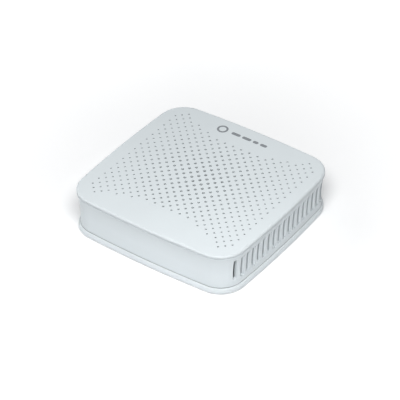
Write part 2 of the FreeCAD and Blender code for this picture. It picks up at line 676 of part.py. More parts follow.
def optical_port_shell():
    width, depth, height = SHELL_SIZE
    front = PORT_FACE_Y - depth
    low = OPTICAL_Z - height / 2
    body = block(span(OPTICAL_X, width), (front, PORT_FACE_Y), (low, low + height))
    feet = [block(span(OPTICAL_X + side * SHELL_FOOT_X, SHELL_FOOT[0]),
                  span(PORT_FACE_Y - depth / 2, SHELL_FOOT[1]), (BOARD_TOP_Z, low)) for side in (1, -1)]
    inward = (PORT_FACE_Y - SHELL_MOUTH[1], PORT_FACE_Y + PAST)
    mouth = block(span(OPTICAL_X, SHELL_MOUTH[0]), inward, span(OPTICAL_Z, SHELL_MOUTH[2]))
    key_z = OPTICAL_Z + SHELL_MOUTH[2] / 2
    key = block(span(OPTICAL_X, SHELL_KEY_WIDTH), inward,
                (key_z - SHELL_KEY_OVERLAP, low + height + PAST))
    bore = rod(SHELL_BORE_R, V(OPTICAL_X, front - PAST, OPTICAL_Z), V(OPTICAL_X, PORT_FACE_Y, OPTICAL_Z))
    well = block(span(OPTICAL_X, TRANSCEIVER_SIZE[0] + 2 * TRANSCEIVER_PLAY),
                 (front - PAST, TRANSCEIVER_REAR_Y + TRANSCEIVER_GAP),
                 span(OPTICAL_Z, TRANSCEIVER_SIZE[2] + 2 * TRANSCEIVER_PLAY))
    return fuse([body] + feet).cut([mouth, key, bore, well])


def ferrule_receptacle():
    start, end = (V(OPTICAL_X, y, OPTICAL_Z) for y in FERRULE_Y)
    bore = rod(FERRULE_BORE_R, start.add(Y_AXIS * FERRULE_FLOOR), end.add(Y_AXIS))
    return rod(FERRULE_R, start, end).cut(bore)


def transceiver_body():
    width, depth, height = TRANSCEIVER_SIZE
    return rounded_block(span(OPTICAL_X, width), (TRANSCEIVER_REAR_Y - depth, TRANSCEIVER_REAR_Y),
                         span(OPTICAL_Z, height), TRANSCEIVER_EDGE, Y_AXIS)


def laser_can():
    front = V(OPTICAL_X, TRANSCEIVER_REAR_Y - TRANSCEIVER_SIZE[1], OPTICAL_Z)
    base = front.sub(Y_AXIS * LASER_LENGTH)
    flange = rod(LASER_R, base, base.add(Y_AXIS * CAN_FLANGE))
    return fuse([rod(LASER_R - CAN_STEP, base, front), flange])


def receiver_can():
    side = V(OPTICAL_X - TRANSCEIVER_SIZE[0] / 2, RECEIVER_Y, OPTICAL_Z)
    base = side.sub(X_AXIS * RECEIVER_LENGTH)
    flange = rod(RECEIVER_R, base, base.add(X_AXIS * CAN_FLANGE))
    return fuse([rod(RECEIVER_R - CAN_STEP, base, side), flange])


def lead(x, y, dx, dy):
    """Flat lead that leaves a can horizontally, then drops to the board."""
    half = LEAD_WIDTH / 2
    end_x, end_y = x + dx * LEAD_REACH, y + dy * LEAD_REACH
    arm = block((min(x, end_x - half) if dx else x - half, max(x, end_x + half) if dx else x + half),
                (min(y, end_y - half) if dy else y - half, max(y, end_y + half) if dy else y + half),
                span(OPTICAL_Z, LEAD_WIDTH))
    drop = block(span(end_x, LEAD_WIDTH), span(end_y, LEAD_WIDTH), (BOARD_TOP_Z, OPTICAL_Z))
    return fuse([arm, drop])


def transceiver_leads():
    laser_y = TRANSCEIVER_REAR_Y - TRANSCEIVER_SIZE[1] - LASER_LENGTH
    receiver_x = OPTICAL_X - TRANSCEIVER_SIZE[0] / 2 - RECEIVER_LENGTH
    leads = []
    for step in (-1, 0, 1):
        leads.append(lead(OPTICAL_X + step * LEAD_PITCH, laser_y, 0, -1))
        leads.append(lead(receiver_x, RECEIVER_Y + step * LEAD_PITCH, -1, 0))
    return group(leads)


def optics_shield():
    (width, depth, height), place = OPTICS_SHIELD
    inner = (width - 2 * SHIELD_SHEET, depth - 2 * SHIELD_SHEET, height - SHIELD_SHEET)
    return on_board((width, depth, height), place).cut(on_board(inner, place))


# ---------------------------------------------------------------- LAN jacks
def jack_shield(x):
    width, depth, height = JACK_SIZE
    back = PORT_FACE_Y - depth
    half, window_low, window_high = JACK_WINDOW
    body = block(span(x, width), (back, PORT_FACE_Y), (BOARD_TOP_Z, BOARD_TOP_Z + height))
    hollow = block(span(x, width - 2 * JACK_SHEET), (back + JACK_SHEET, PORT_FACE_Y - JACK_SHEET),
                   (BOARD_TOP_Z - PAST, BOARD_TOP_Z + height - JACK_SHEET))
    window = block((x - half, x + half), (PORT_FACE_Y - PAST, PORT_FACE_Y + PAST),
                   (BOARD_TOP_Z + window_low, BOARD_TOP_Z + window_high))
    return body.cut([hollow, window])


def lamp_block(x, side, grow):
    """Indicator lamp in an upper corner of a jack; grow gives its pocket."""
    width, depth, height = LAMP_SIZE
    front = PORT_FACE_Y - JACK_SHEET - JACK_GAP
    return block(span(x + side * LAMP_X, width + 2 * grow), (front - depth - grow, front + grow),
                 (BOARD_TOP_Z + LAMP_Z - grow, BOARD_TOP_Z + LAMP_Z + height + grow))


def jack_insert(x):
    width, depth, height = JACK_SIZE
    skin = JACK_SHEET + JACK_GAP
    front = PORT_FACE_Y - skin
    body = block(span(x, width - 2 * skin), (PORT_FACE_Y - depth + skin, front),
                 (BOARD_TOP_Z, BOARD_TOP_Z + height - skin))
    cuts = [block((x - PLUG_HALF_WIDTH, x + PLUG_HALF_WIDTH), (front - PLUG_DEPTH, DEPTH),
                  (BOARD_TOP_Z + PLUG_Z[0], BOARD_TOP_Z + PLUG_Z[1])),
            block((x - LATCH_HALF_WIDTH, x + LATCH_HALF_WIDTH), (front - PLUG_DEPTH, DEPTH),
                  (BOARD_TOP_Z + LATCH_Z, BOARD_TOP_Z + PLUG_Z[1]))]
    cuts += [lamp_block(x, side, JACK_GAP) for side in (1, -1)]
    return body.cut(cuts)


def jack_contacts(x):
    """Eight springs that slope down into the jack from its roof."""
    front = PORT_FACE_Y - JACK_SHEET - JACK_GAP
    roof = BOARD_TOP_Z + PLUG_Z[1] - JACK_GAP
    profile = [(front - CONTACT_START, roof), (front - CONTACT_END, roof - CONTACT_DROP),
               (front - CONTACT_END, roof - CONTACT_DROP + CONTACT_THICKNESS),
               (front - CONTACT_START - CONTACT_ROOT, roof)]
    first = x - CONTACT_PITCH * (CONTACT_COUNT - 1) / 2
    springs = []
    for number in range(CONTACT_COUNT):
        left = first + number * CONTACT_PITCH - CONTACT_WIDTH / 2
        corners = [V(left, y, z) for y, z in profile + profile[:1]]
        springs.append(Part.Face(Part.makePolygon(corners)).extrude(V(CONTACT_WIDTH, 0, 0)))
    return group(springs)


def jack_lamps():
    return group([lamp_block(x, side, 0) for x in LAN_X for side in (1, -1)])


# ---------------------------------------------------------------- power and reset
def dc_jack_body():
    width, depth, height = DC_SIZE
    body = rounded_block(span(DC_X, width), (PORT_FACE_Y - depth, PORT_FACE_Y),
                         (BOARD_TOP_Z, BOARD_TOP_Z + height), DC_EDGE, Y_AXIS)
    mouth = V(DC_X, PORT_FACE_Y, DC_Z)
    bore = rod(DC_BORE_R, mouth.sub(Y_AXIS * DC_BORE_DEPTH), mouth.add(Y_AXIS))
    socket = rod(DC_PIN_R, mouth.sub(Y_AXIS * (DC_BORE_DEPTH + DC_PIN_ROOT)), mouth)
    groove = block(span(DC_X, DC_SPRING[0] + 2 * DC_SPRING_PLAY),
                   (PORT_FACE_Y - DC_BORE_DEPTH, PORT_FACE_Y - DC_GROOVE_SET_BACK),
                   (DC_Z - DC_BORE_R - DC_GROOVE_DEPTH, DC_Z))
    return body.cut([bore, socket, groove])


def dc_jack_pin():
    start = V(DC_X, PORT_FACE_Y - DC_BORE_DEPTH - DC_PIN_ROOT, DC_Z)
    end = V(DC_X, PORT_FACE_Y - DC_PIN_SET_BACK, DC_Z)
    pin = rod(DC_PIN_R, start, end)
    tip = [e for e in pin.Edges if e.BoundBox.YMin > end.y - TOUCH]
    return pin.makeFillet(DC_PIN_TIP, tip)


def dc_jack_spring():
    width, length, thickness = DC_SPRING
    low = DC_Z - DC_BORE_R - DC_SPRING_Z
    start = PORT_FACE_Y - DC_BORE_DEPTH + DC_SPRING_PLAY
    return block(span(DC_X, width), (start, start + length), (low, low + thickness))


def power_switch_body():
    width, depth, height = SWITCH_SIZE
    back = SWITCH_FRONT_Y - depth
    body = rounded_block(span(POWER_X, width), (back, SWITCH_FRONT_Y),
                         (BOARD_TOP_Z, BOARD_TOP_Z + height), SWITCH_EDGE, Y_AXIS)
    reach = STEM_HALF + STEM_CLEARANCE
    well = block((POWER_X - reach, POWER_X + reach), (STEM_BACK_Y - BUTTON_TRAVEL - STEM_CLEARANCE, DEPTH),
                 (POWER_Z - reach, POWER_Z + reach))
    return body.cut(well)


def power_button():
    cap = rod(BUTTON_R, V(POWER_X, BUTTON_Y[0], POWER_Z), V(POWER_X, BUTTON_Y[1], POWER_Z))
    rim = [e for e in cap.Edges if e.BoundBox.YMin > BUTTON_Y[1] - TOUCH]
    stem = block((POWER_X - STEM_HALF, POWER_X + STEM_HALF), (STEM_BACK_Y, BUTTON_Y[0]),
                 (POWER_Z - STEM_HALF, POWER_Z + STEM_HALF))
    return fuse([cap.makeFillet(BUTTON_EDGE, rim), stem])


def reset_switch_body():
    width, depth, height = RESET_SIZE
    body = block(span(RESET_X, width), (RESET_FRONT_Y - depth, RESET_FRONT_Y),
                 (BOARD_TOP_Z, BOARD_TOP_Z + height))
    well = rod(PLUNGER_R + STEM_CLEARANCE, V(RESET_X, RESET_FRONT_Y - PLUNGER_WELL, RESET_Z),
               V(RESET_X, RESET_FRONT_Y + PAST, RESET_Z))
    return body.cut(well)


def reset_plunger():
    start, end = (V(RESET_X, y, RESET_Z) for y in PLUNGER_Y)
    return rod(PLUNGER_R, start, end)


# ---------------------------------------------------------------- lamps and circuit parts
def status_lamps():
    return group([on_board(LAMP_CHIP, (x, GUIDE_Y)) for x in GUIDE_X])


def light_guide():
    """One clear moulding: an upright and a rod for each lamp, joined by a bar."""
    parts = [block((min(GUIDE_X) - GUIDE_R, max(GUIDE_X) + GUIDE_R), span(GUIDE_Y, 2 * GUIDE_R),
                   (GUIDE_Z - GUIDE_R, GUIDE_Z + GUIDE_R))]
    for x in GUIDE_X:
        parts.append(rod(GUIDE_R, V(x, GUIDE_Y, GUIDE_FOOT_Z), V(x, GUIDE_Y, GUIDE_Z)))
        parts.append(rod(GUIDE_R, V(x, GUIDE_Y, GUIDE_Z), V(x, PANEL_Y[1] + GUIDE_PROUD, GUIDE_Z)))
    return fuse(parts)


def thermal_pad():
    pad = on_board(*THERMAL_PAD)
    pad.translate(V(0, 0, PROCESSOR[0][2]))
    return pad


def heat_sink():
    width, depth, height = SINK_SIZE
    x, y = PROCESSOR[1]
    low = BOARD_TOP_Z + PROCESSOR[0][2] + THERMAL_PAD[0][2]
    parts = [block(span(x, width), span(y, depth), (low, low + SINK_BASE))]
    for number in range(SINK_FINS):
        middle = x - width / 2 + SINK_FIN / 2 + number * (width - SINK_FIN) / (SINK_FINS - 1)
        parts.append(block(span(middle, SINK_FIN), span(y, depth), (low + SINK_BASE, low + height)))
    return fuse(parts)


def lan_transformers():
    return group([on_board(TRANSFORMER_SIZE, (x, TRANSFORMER_Y)) for x in LAN_X])


def power_inductors():
    coils = []
    for place in INDUCTOR_AT:
        coil = on_board(INDUCTOR_SIZE, place)
        coils.append(coil.makeFillet(INDUCTOR_CORNER, edges_along(coil, Z_AXIS)))
    return group(coils)


def electrolytic_capacitors():
    return group([rod(CAPACITOR_R, V(x, y, BOARD_TOP_Z), V(x, y, BOARD_TOP_Z + CAPACITOR_H))
                  for x, y in CAPACITOR_AT])


def chip_passives():
    first = -PASSIVE_PITCH * (PASSIVE_COUNT - 1) / 2
    return group([on_board(PASSIVE_SIZE, (first + number * PASSIVE_PITCH, PASSIVE_Y))
                  for number in range(PASSIVE_COUNT)])


# ---------------------------------------------------------------- output
NODES = {
    "top_cover": top_cover,
    "side_frame": side_frame,
    "bottom_cover": bottom_cover,
    "rear_panel": rear_panel,
    "rubber_feet": rubber_feet,
    "case_screws": case_screws,
    "board_screws": board_screws,
    "rating_label": rating_label,
    "printed_mark": printed_mark,
    "main_board": main_board,
    "optical_port_shell": optical_port_shell,
    "ferrule_receptacle": ferrule_receptacle,
    "transceiver_body": transceiver_body,
    "laser_can": laser_can,
    "receiver_can": receiver_can,
    "transceiver_leads": transceiver_leads,
    "optics_shield": optics_shield,
    "lan_jack_shield_1": lambda: jack_shield(LAN_X[0]),
    "lan_jack_shield_2": lambda: jack_shield(LAN_X[1]),
    "lan_jack_insert_1": lambda: jack_insert(LAN_X[0]),
    "lan_jack_insert_2": lambda: jack_insert(LAN_X[1]),
    "lan_jack_contacts_1": lambda: jack_contacts(LAN_X[0]),
    "lan_jack_contacts_2": lambda: jack_contacts(LAN_X[1]),
    "lan_jack_lamps": jack_lamps,
    "dc_jack_body": dc_jack_body,
    "dc_jack_pin": dc_jack_pin,
    "dc_jack_spring": dc_jack_spring,
    "power_switch_body": power_switch_body,
    "power_button": power_button,
    "reset_switch_body": reset_switch_body,
    "reset_plunger": reset_plunger,
    "status_lamps": status_lamps,
    "light_guide": light_guide,
    "processor": lambda: on_board(*PROCESSOR),
    "thermal_pad": thermal_pad,
    "heat_sink": heat_sink,
    "memory_chip": lambda: on_board(*MEMORY),
    "flash_chip": lambda: on_board(*FLASH),
    "power_regulator": lambda: on_board(*REGULATOR),
    "clock_crystal": lambda: on_board(*CRYSTAL),
    "lan_transformers": lan_transformers,
    "power_inductors": power_inductors,
    "electrolytic_capacitors": electrolytic_capacitors,
    "chip_passives": chip_passives,
}


def main():
    os.makedirs("parts", exist_ok=True)
    for node, make in NODES.items():
        shape = make()
        shape.exportStep("parts/" + node + ".step")
        print(node, len(shape.Solids), round(shape.Volume, 2), shape.isValid())


main()
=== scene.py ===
"""Looks of the optical network terminal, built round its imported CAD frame.

Metres, apart from the lengths that a name or a comment gives in mm. +Z is up, -Y is the plain front,
+X is the right side with its vent slots, +Y is the port side.
"""
import json
import math

import bmesh
import bpy
from mathutils import Matrix, Vector


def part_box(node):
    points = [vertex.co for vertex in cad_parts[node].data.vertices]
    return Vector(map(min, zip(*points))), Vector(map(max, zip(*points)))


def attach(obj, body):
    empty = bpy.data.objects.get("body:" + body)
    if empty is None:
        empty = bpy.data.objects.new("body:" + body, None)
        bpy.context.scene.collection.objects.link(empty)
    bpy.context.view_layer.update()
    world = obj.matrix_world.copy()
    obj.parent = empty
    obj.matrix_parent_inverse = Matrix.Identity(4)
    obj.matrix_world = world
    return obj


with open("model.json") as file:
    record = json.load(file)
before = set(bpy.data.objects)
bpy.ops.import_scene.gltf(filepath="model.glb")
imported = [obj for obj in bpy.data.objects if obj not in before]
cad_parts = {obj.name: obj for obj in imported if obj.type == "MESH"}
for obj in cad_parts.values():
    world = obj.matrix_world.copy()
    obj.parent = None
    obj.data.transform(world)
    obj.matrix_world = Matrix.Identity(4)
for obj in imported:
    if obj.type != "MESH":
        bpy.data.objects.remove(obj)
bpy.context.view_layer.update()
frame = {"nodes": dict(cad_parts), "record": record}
NODES = frame["nodes"]
MM = 0.001
X, Y, Z = Vector((1, 0, 0)), Vector((0, 1, 0)), Vector((0, 0, 1))
SIDES = (-1, 1)


# ---------------------------------------------------------------- camera, light and floor
# Camera: its azimuth runs from the front towards the right side. Degrees, metres, and mm for the lens.
CAMERA_AZIMUTH = 36.1
CAMERA_ELEVATION = 38.2
CAMERA_ROLL = -0.8
CAMERA_DISTANCE = 1.144
CAMERA_TARGET = Vector((-0.00019, -0.00128, 0.01254))
CAMERA_LENS = 180.7
CAMERA_CLIP = (0.05, 20)

# Light: a soft studio all round, and three disks, each with its place, size and power
STUDIO_COLOUR = (0.97, 0.985, 1.0, 1)
STUDIO_STRENGTH = 0.21
DISK_LIGHTS = {
    "key_light": ((0.15, -0.2, 0.38), 0.2, 1.4),
    "left_light": ((-1.4, -0.2, 0.5), 1.4, 6.5),
    "top_light": ((0.0, 0.0, 1.2), 0.5, 1.5),
}

# Floor: it glows like a light table, so that shadows stay faint, and glows more away from the object
FLOOR_Z = 0.0
FLOOR_HALF_WIDTH = 3.0
FLOOR_COLOUR = (0.93, 0.935, 0.94)
FLOOR_ROUGHNESS = 0.85
FLOOR_DRIFT = (6, 0.01)         # scale and depth, as for the grain
FLOOR_GRAIN = (700, 0.00003)
FLOOR_GLOW_COLOUR = (1, 1, 1, 1)
FLOOR_GLOW = 0.18
FAR_FLOOR_GLOW = 0.75
GLOW_START, GLOW_END = 0.09, 0.3    # distances from the middle over which it grows


def place_object(name, data):
    """Puts data into the scene as a new object."""
    made = bpy.data.objects.new(name, data)
    bpy.context.scene.collection.objects.link(made)
    return made


def make_camera():
    azimuth, elevation = math.radians(CAMERA_AZIMUTH), math.radians(CAMERA_ELEVATION)
    away = Vector((math.sin(azimuth) * math.cos(elevation), -math.cos(azimuth) * math.cos(elevation),
                   math.sin(elevation)))
    data = bpy.data.cameras.new("camera")
    data.lens = CAMERA_LENS
    data.clip_start, data.clip_end = CAMERA_CLIP
    camera = place_object("camera", data)
    camera.location = CAMERA_TARGET + away * CAMERA_DISTANCE
    aim = (-away).to_track_quat("-Z", "Y").to_matrix()
    camera.rotation_euler = (aim @ Matrix.Rotation(math.radians(CAMERA_ROLL), 3, "Z")).to_euler()
    bpy.context.scene.camera = camera


def make_light():
    world = bpy.data.worlds.new("studio")
    world.use_nodes = True
    background = world.node_tree.nodes["Background"]
    background.inputs["Color"].default_value = STUDIO_COLOUR
    background.inputs["Strength"].default_value = STUDIO_STRENGTH
    bpy.context.scene.world = world
    for name, (place, size, power) in DISK_LIGHTS.items():
        data = bpy.data.lights.new(name, "AREA")
        data.shape = "DISK"
        data.size = size
        data.energy = power
        light = place_object(name, data)
        light.location = place
        light.rotation_euler = (CAMERA_TARGET - Vector(place)).to_track_quat("-Z", "Y").to_euler()
    bpy.context.scene.view_settings.view_transform = "Standard"


def make_floor():
    mesh = bpy.data.meshes.new("floor")
    corners = [(x * FLOOR_HALF_WIDTH, y * FLOOR_HALF_WIDTH, FLOOR_Z)
               for x, y in ((-1, -1), (1, -1), (1, 1), (-1, 1))]
    mesh.from_pydata(corners, [], [(0, 1, 2, 3)])
    floor = place_object("floor", mesh)
    finish = Finish("floor_paper", FLOOR_COLOUR, FLOOR_ROUGHNESS)
    finish.mottle(*FLOOR_DRIFT).grain(*FLOOR_GRAIN).set(Emission_Color=FLOOR_GLOW_COLOUR)
    far = finish.node("ShaderNodeVectorMath")
    far.operation = "LENGTH"
    finish.link(finish.place, far.inputs[0])
    glow = finish.ramp(far.outputs["Value"], FLOOR_GLOW, FAR_FLOOR_GLOW, GLOW_START, GLOW_END)
    finish.link(glow, finish.shader.inputs["Emission Strength"])
    mesh.materials.append(finish.material)


# ---------------------------------------------------------------- materials
MIX_A, MIX_B, MIX_RESULT = 6, 7, 2      # the colour sockets of a Mix node
NOISE_MIDDLE = (0.35, 0.65)             # most of a noise's values lie between these
FINER = 3.1                             # gloss drifts on a finer scale than colour
WORN_EDGE = (0.72, 0.98)                # how far a rubbed edge's soft normal leans, as a cosine
HEIGHT_BLEND = 0.3 * MM                 # half the band over which the painted shade in hollows begins
HOLLOW_SHADE_SAMPLES = 8
EDGE_SAMPLES = 4


class Finish:
    """A node material, built up in steps: drifting colour and gloss, painted shade in hollows and over the
    height, soft edges and a grain.
    """

    def __init__(self, name, colour, roughness, metallic=0.0):
        self.material = bpy.data.materials.new(name)
        self.material.use_nodes = True
        self.tree = self.material.node_tree
        self.shader = self.tree.nodes["Principled BSDF"]
        self.roughness = roughness
        self.set(Base_Color=(*colour, 1), Roughness=roughness, Metallic=metallic)
        self.place = self.node("ShaderNodeTexCoord").outputs["Object"]

    def set(self, **inputs):
        """Sets the shader's own sockets."""
        for key, value in inputs.items():
            self.shader.inputs[key.replace("_", " ")].default_value = value
        return self

    def node(self, kind, **inputs):
        made = self.tree.nodes.new(kind)
        for key, value in inputs.items():
            made.inputs[key.replace("_", " ")].default_value = value
        return made

    def link(self, output, target):
        self.tree.links.new(output, target)

    def noise(self, scale, detail):
        made = self.node("ShaderNodeTexNoise", Scale=scale, Detail=detail)
        self.link(self.place, made.inputs["Vector"])
        return made.outputs["Fac"]

    def ramp(self, source, low, high, start, end):
        """A factor that runs from low to high while source runs from start to end."""
        made = self.node("ShaderNodeMapRange", From_Min=start, From_Max=end, To_Min=low, To_Max=high)
        self.link(source, made.inputs["Value"])
        return made.outputs["Result"]

    def height(self, low, high, start, end):
        """A factor that runs from low to high while the height runs from start to end."""
        split = self.node("ShaderNodeSeparateXYZ")
        self.link(self.place, split.inputs[0])
        return self.ramp(split.outputs["Z"], low, high, start, end)

    def tint(self, factor):
        """Multiplies the base colour so far by a grey factor."""
        mix = self.node("ShaderNodeMix")
        mix.data_type = "RGBA"
        mix.blend_type = "MULTIPLY"
        mix.inputs["Factor"].default_value = 1.0
        base = self.shader.inputs["Base Color"]
        if base.is_linked:
            self.link(base.links[0].from_socket, mix.inputs[MIX_A])
        else:
            mix.inputs[MIX_A].default_value = base.default_value
        self.link(factor, mix.inputs[MIX_B])
        self.link(mix.outputs[MIX_RESULT], base)

    def bend(self, output):
        """Feeds a new normal to the shader and hands back the one before it."""
        normal = self.shader.inputs["Normal"]
        before = normal.links[0].from_socket if normal.is_linked else None
        self.link(output, normal)
        return before

    def mottle(self, scale, depth, gloss=0.04):
        """Slight drift of colour and gloss over the surface."""
        self.tint(self.ramp(self.noise(scale, detail=3), 1 - depth, 1 + depth, *NOISE_MIDDLE))
        drift = self.ramp(self.noise(scale * FINER, detail=2), self.roughness - gloss, self.roughness + gloss,
                          *NOISE_MIDDLE)
        self.link(drift, self.shader.inputs["Roughness"])
        return self

    # Painted shade: ambient occlusion darkens the base colour where shade falls in hollows
    def painted_hollow_shade(self, reach, tone, start=0.05, end=0.45, above=None):
        """Paints shade deep in a seam, a hole or a slot by darkening the colour, everywhere or above a height
        only.
        """
        shade = self.node("ShaderNodeAmbientOcclusion", Distance=reach)
        shade.samples = HOLLOW_SHADE_SAMPLES
        factor = self.ramp(shade.outputs["AO"], tone, 1.0, start, end)
        if above:
            brighter = self.node("ShaderNodeMath")
            brighter.operation = "MAXIMUM"
            self.link(factor, brighter.inputs[0])
            self.link(self.height(1.0, 0.0, above - HEIGHT_BLEND, above + HEIGHT_BLEND), brighter.inputs[1])
            factor = brighter.outputs[0]
        self.tint(factor)
        return self

    def fade(self, low, high, start, end):
        """Painted shade over the height: a tone that runs from low to high while the height runs from start
        to end.
        """
        self.tint(self.height(low, high, start, end))
        return self

    def edges(self, radius, tone=1.0):
        """Softens edges to a radius, and rubs them brighter or duller by tone."""
        soft = self.node("ShaderNodeBevel", Radius=radius)
        soft.samples = EDGE_SAMPLES
        if tone != 1.0:
            dot = self.node("ShaderNodeVectorMath")
            dot.operation = "DOT_PRODUCT"
            self.link(soft.outputs["Normal"], dot.inputs[0])
            self.link(self.node("ShaderNodeNewGeometry").outputs["Normal"], dot.inputs[1])
            self.tint(self.ramp(dot.outputs["Value"], tone, 1.0, *WORN_EDGE))
        self.bend(soft.outputs["Normal"])
        return self

    def grain(self, scale, depth):
        """Fine surface texture, as bump."""
        bump = self.node("ShaderNodeBump", Strength=1.0, Distance=depth)
        self.link(self.noise(scale, detail=4), bump.inputs["Height"])
        before = self.bend(bump.outputs["Normal"])
        if before:
            self.link(before, bump.inputs["Normal"])
        return self


# Mouldings and metals: scale and depth of the colour's drift and of the grain, and radius of the edges
MOULD_SCALE, MOULD_DRIFT = 25, 0.012
GRAIN_SCALE, MOULD_GRAIN = 2600, 0.00002
MOULD_EDGE = 0.00012
CASE_ROUGHNESS = 0.6
CASE_HOLLOW_SHADE = (0.0025, 0.97)       # reach and tone of the shade painted into hollows
METAL_DRIFT, METAL_GLOSS = (200, 0.02), 0.02
METAL_EDGE, METAL_EDGE_TONE = 0.00006, 1.1
METAL_GRAIN = (1500, 0.00001)


def casing(name, colour, painted_hollow_shade=CASE_HOLLOW_SHADE):
    """A case moulding: its drawn edges are round already, and shade is painted into its hollows."""
    return Finish(name, colour, CASE_ROUGHNESS).mottle(MOULD_SCALE, MOULD_DRIFT).painted_hollow_shade(
        *painted_hollow_shade).grain(GRAIN_SCALE, MOULD_GRAIN)


def plastic(name, colour, roughness, drift=MOULD_DRIFT, grain=MOULD_GRAIN):
    return Finish(name, colour, roughness).mottle(MOULD_SCALE, drift).edges(
        MOULD_EDGE).grain(GRAIN_SCALE, grain).material


def metal(name, colour, roughness):
    return Finish(name, colour, roughness, metallic=1.0).mottle(*METAL_DRIFT, METAL_GLOSS).edges(
        METAL_EDGE, METAL_EDGE_TONE).grain(*METAL_GRAIN).material


CASE_COLOUR = (0.668, 0.718, 0.742)
BASE_COLOUR = (0.715, 0.762, 0.783)
LID_COLOUR = (0.775, 0.832, 0.856)
PANEL_COLOUR = (0.68, 0.715, 0.73)

# Light guides: clear, polished and hardly frosted
GUIDE_COLOUR = (0.93, 0.96, 0.97)
GUIDE_ROUGHNESS = 0.08
GUIDE_GRAIN = (400, 0.000005)
GUIDE_CLARITY = 0.7
GUIDE_IOR = 1.49

# Painted shade over the height: the lid's rim is painted darker than its top, and the wall is painted darker
# towards the lid.
# Shade painted into hollows, as reach and tone: the base's is painted over a range of its own, from its ledge
# upwards.
TOP_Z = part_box("top_cover")[1].z
RIM_HEIGHT_SHADE = (0.72, 1.0, TOP_Z - 0.9 * MM, TOP_Z + 0.2 * MM)
LID_HOLLOW_SHADE = (0.0025, 0.72)
WALL_HEIGHT_SHADE = (1.0, 0.92, 13 * MM, 23 * MM)
WALL_HOLLOW_SHADE = (0.002, 0.88)
BASE_HOLLOW_SHADE = (0.0035, 0.15, 0.05, 0.75, 3.4 * MM)

# Colour and roughness, then drift and grain where they differ from a case moulding's
PLASTICS = {
    "foot_rubber": ((0.03, 0.03, 0.032), 0.8, 0.1, 0.00006),
    "label_film": ((0.72, 0.73, 0.74), 0.35),
    "mark_ink": ((0.27, 0.29, 0.31), 0.5, 0.03, 0.000005),
    "board_green": ((0.01, 0.09, 0.03), 0.3, 0.1),
    "track_green": ((0.02, 0.15, 0.05), 0.3, 0.1),
    "port_green": ((0.02, 0.25, 0.07), 0.35, 0.04),
    "jack_black": ((0.02, 0.02, 0.021), 0.5, 0.1),
    "lamp_amber": ((0.70, 0.45, 0.10), 0.2, 0.02),
    "lamp_clear": ((0.80, 0.80, 0.60), 0.2, 0.02),
    "chip_black": ((0.022, 0.022, 0.024), 0.55, 0.1),
    "pad_grey": ((0.35, 0.40, 0.46), 0.8, 0.05, 0.00005),
    "ferrite_grey": ((0.10, 0.10, 0.105), 0.7, 0.1, 0.00005),
    "sleeve_black": ((0.025, 0.025, 0.03), 0.3, 0.1),
    "button_grey": ((0.40, 0.42, 0.44), 0.45, 0.02),
    "chip_ceramic": ((0.42, 0.33, 0.22), 0.5, 0.1),
}
METALS = {
    "screw_steel": ((0.62, 0.63, 0.65), 0.32),
    "receptacle_steel": ((0.68, 0.68, 0.70), 0.25),
    "can_gold": ((0.82, 0.62, 0.28), 0.25),
    "jack_nickel": ((0.72, 0.72, 0.73), 0.28),
    "contact_gold": ((0.86, 0.62, 0.22), 0.22),
    "sink_aluminium": ((0.06, 0.06, 0.065), 0.45),
    "crystal_steel": ((0.66, 0.66, 0.66), 0.3),
}
MATERIALS = {
    # Painted shade: every case moulding darkens in its hollows; the lid's rim and the top of the wall are
    # painted darker as well
    "case_white": casing("case_white", CASE_COLOUR).material,
    "lid_white": casing("lid_white", LID_COLOUR, LID_HOLLOW_SHADE).fade(*RIM_HEIGHT_SHADE).material,
    "wall_white": casing("wall_white", CASE_COLOUR, WALL_HOLLOW_SHADE).fade(*WALL_HEIGHT_SHADE).material,
    "base_white": casing("base_white", BASE_COLOUR, BASE_HOLLOW_SHADE).material,
    "panel_white": casing("panel_white", PANEL_COLOUR).material,
    "guide_clear": Finish("guide_clear", GUIDE_COLOUR, GUIDE_ROUGHNESS).grain(*GUIDE_GRAIN).set(
        Transmission_Weight=GUIDE_CLARITY, IOR=GUIDE_IOR).material,
}
MATERIALS.update((name, plastic(name, *look)) for name, look in PLASTICS.items())
MATERIALS.update((name, metal(name, *look)) for name, look in METALS.items())

# These nodes share the case's slot, and each has a finish of its own
OWN_FINISH = {"top_cover": "lid_white", "side_frame": "wall_white", "bottom_cover": "base_white"}


def dress_frame():
    """Gives every CAD node the finish of its slot, or its own."""
    for subpart in frame["record"]["subparts"]:
        mesh = NODES[subpart["node"]].data
        mesh.materials.clear()
        mesh.materials.append(MATERIALS[OWN_FINISH.get(subpart["node"], subpart["material_slot"])])


# ---------------------------------------------------------------- building blocks for small pieces
SMOOTH, FOLDED, SPRUNG = 35, 50, 60     # angles from which an edge stays crisp, in degrees
DOT_RADIUS, DOT_LINE = 0.52, 0.96       # a dot's ring, as shares of its radius


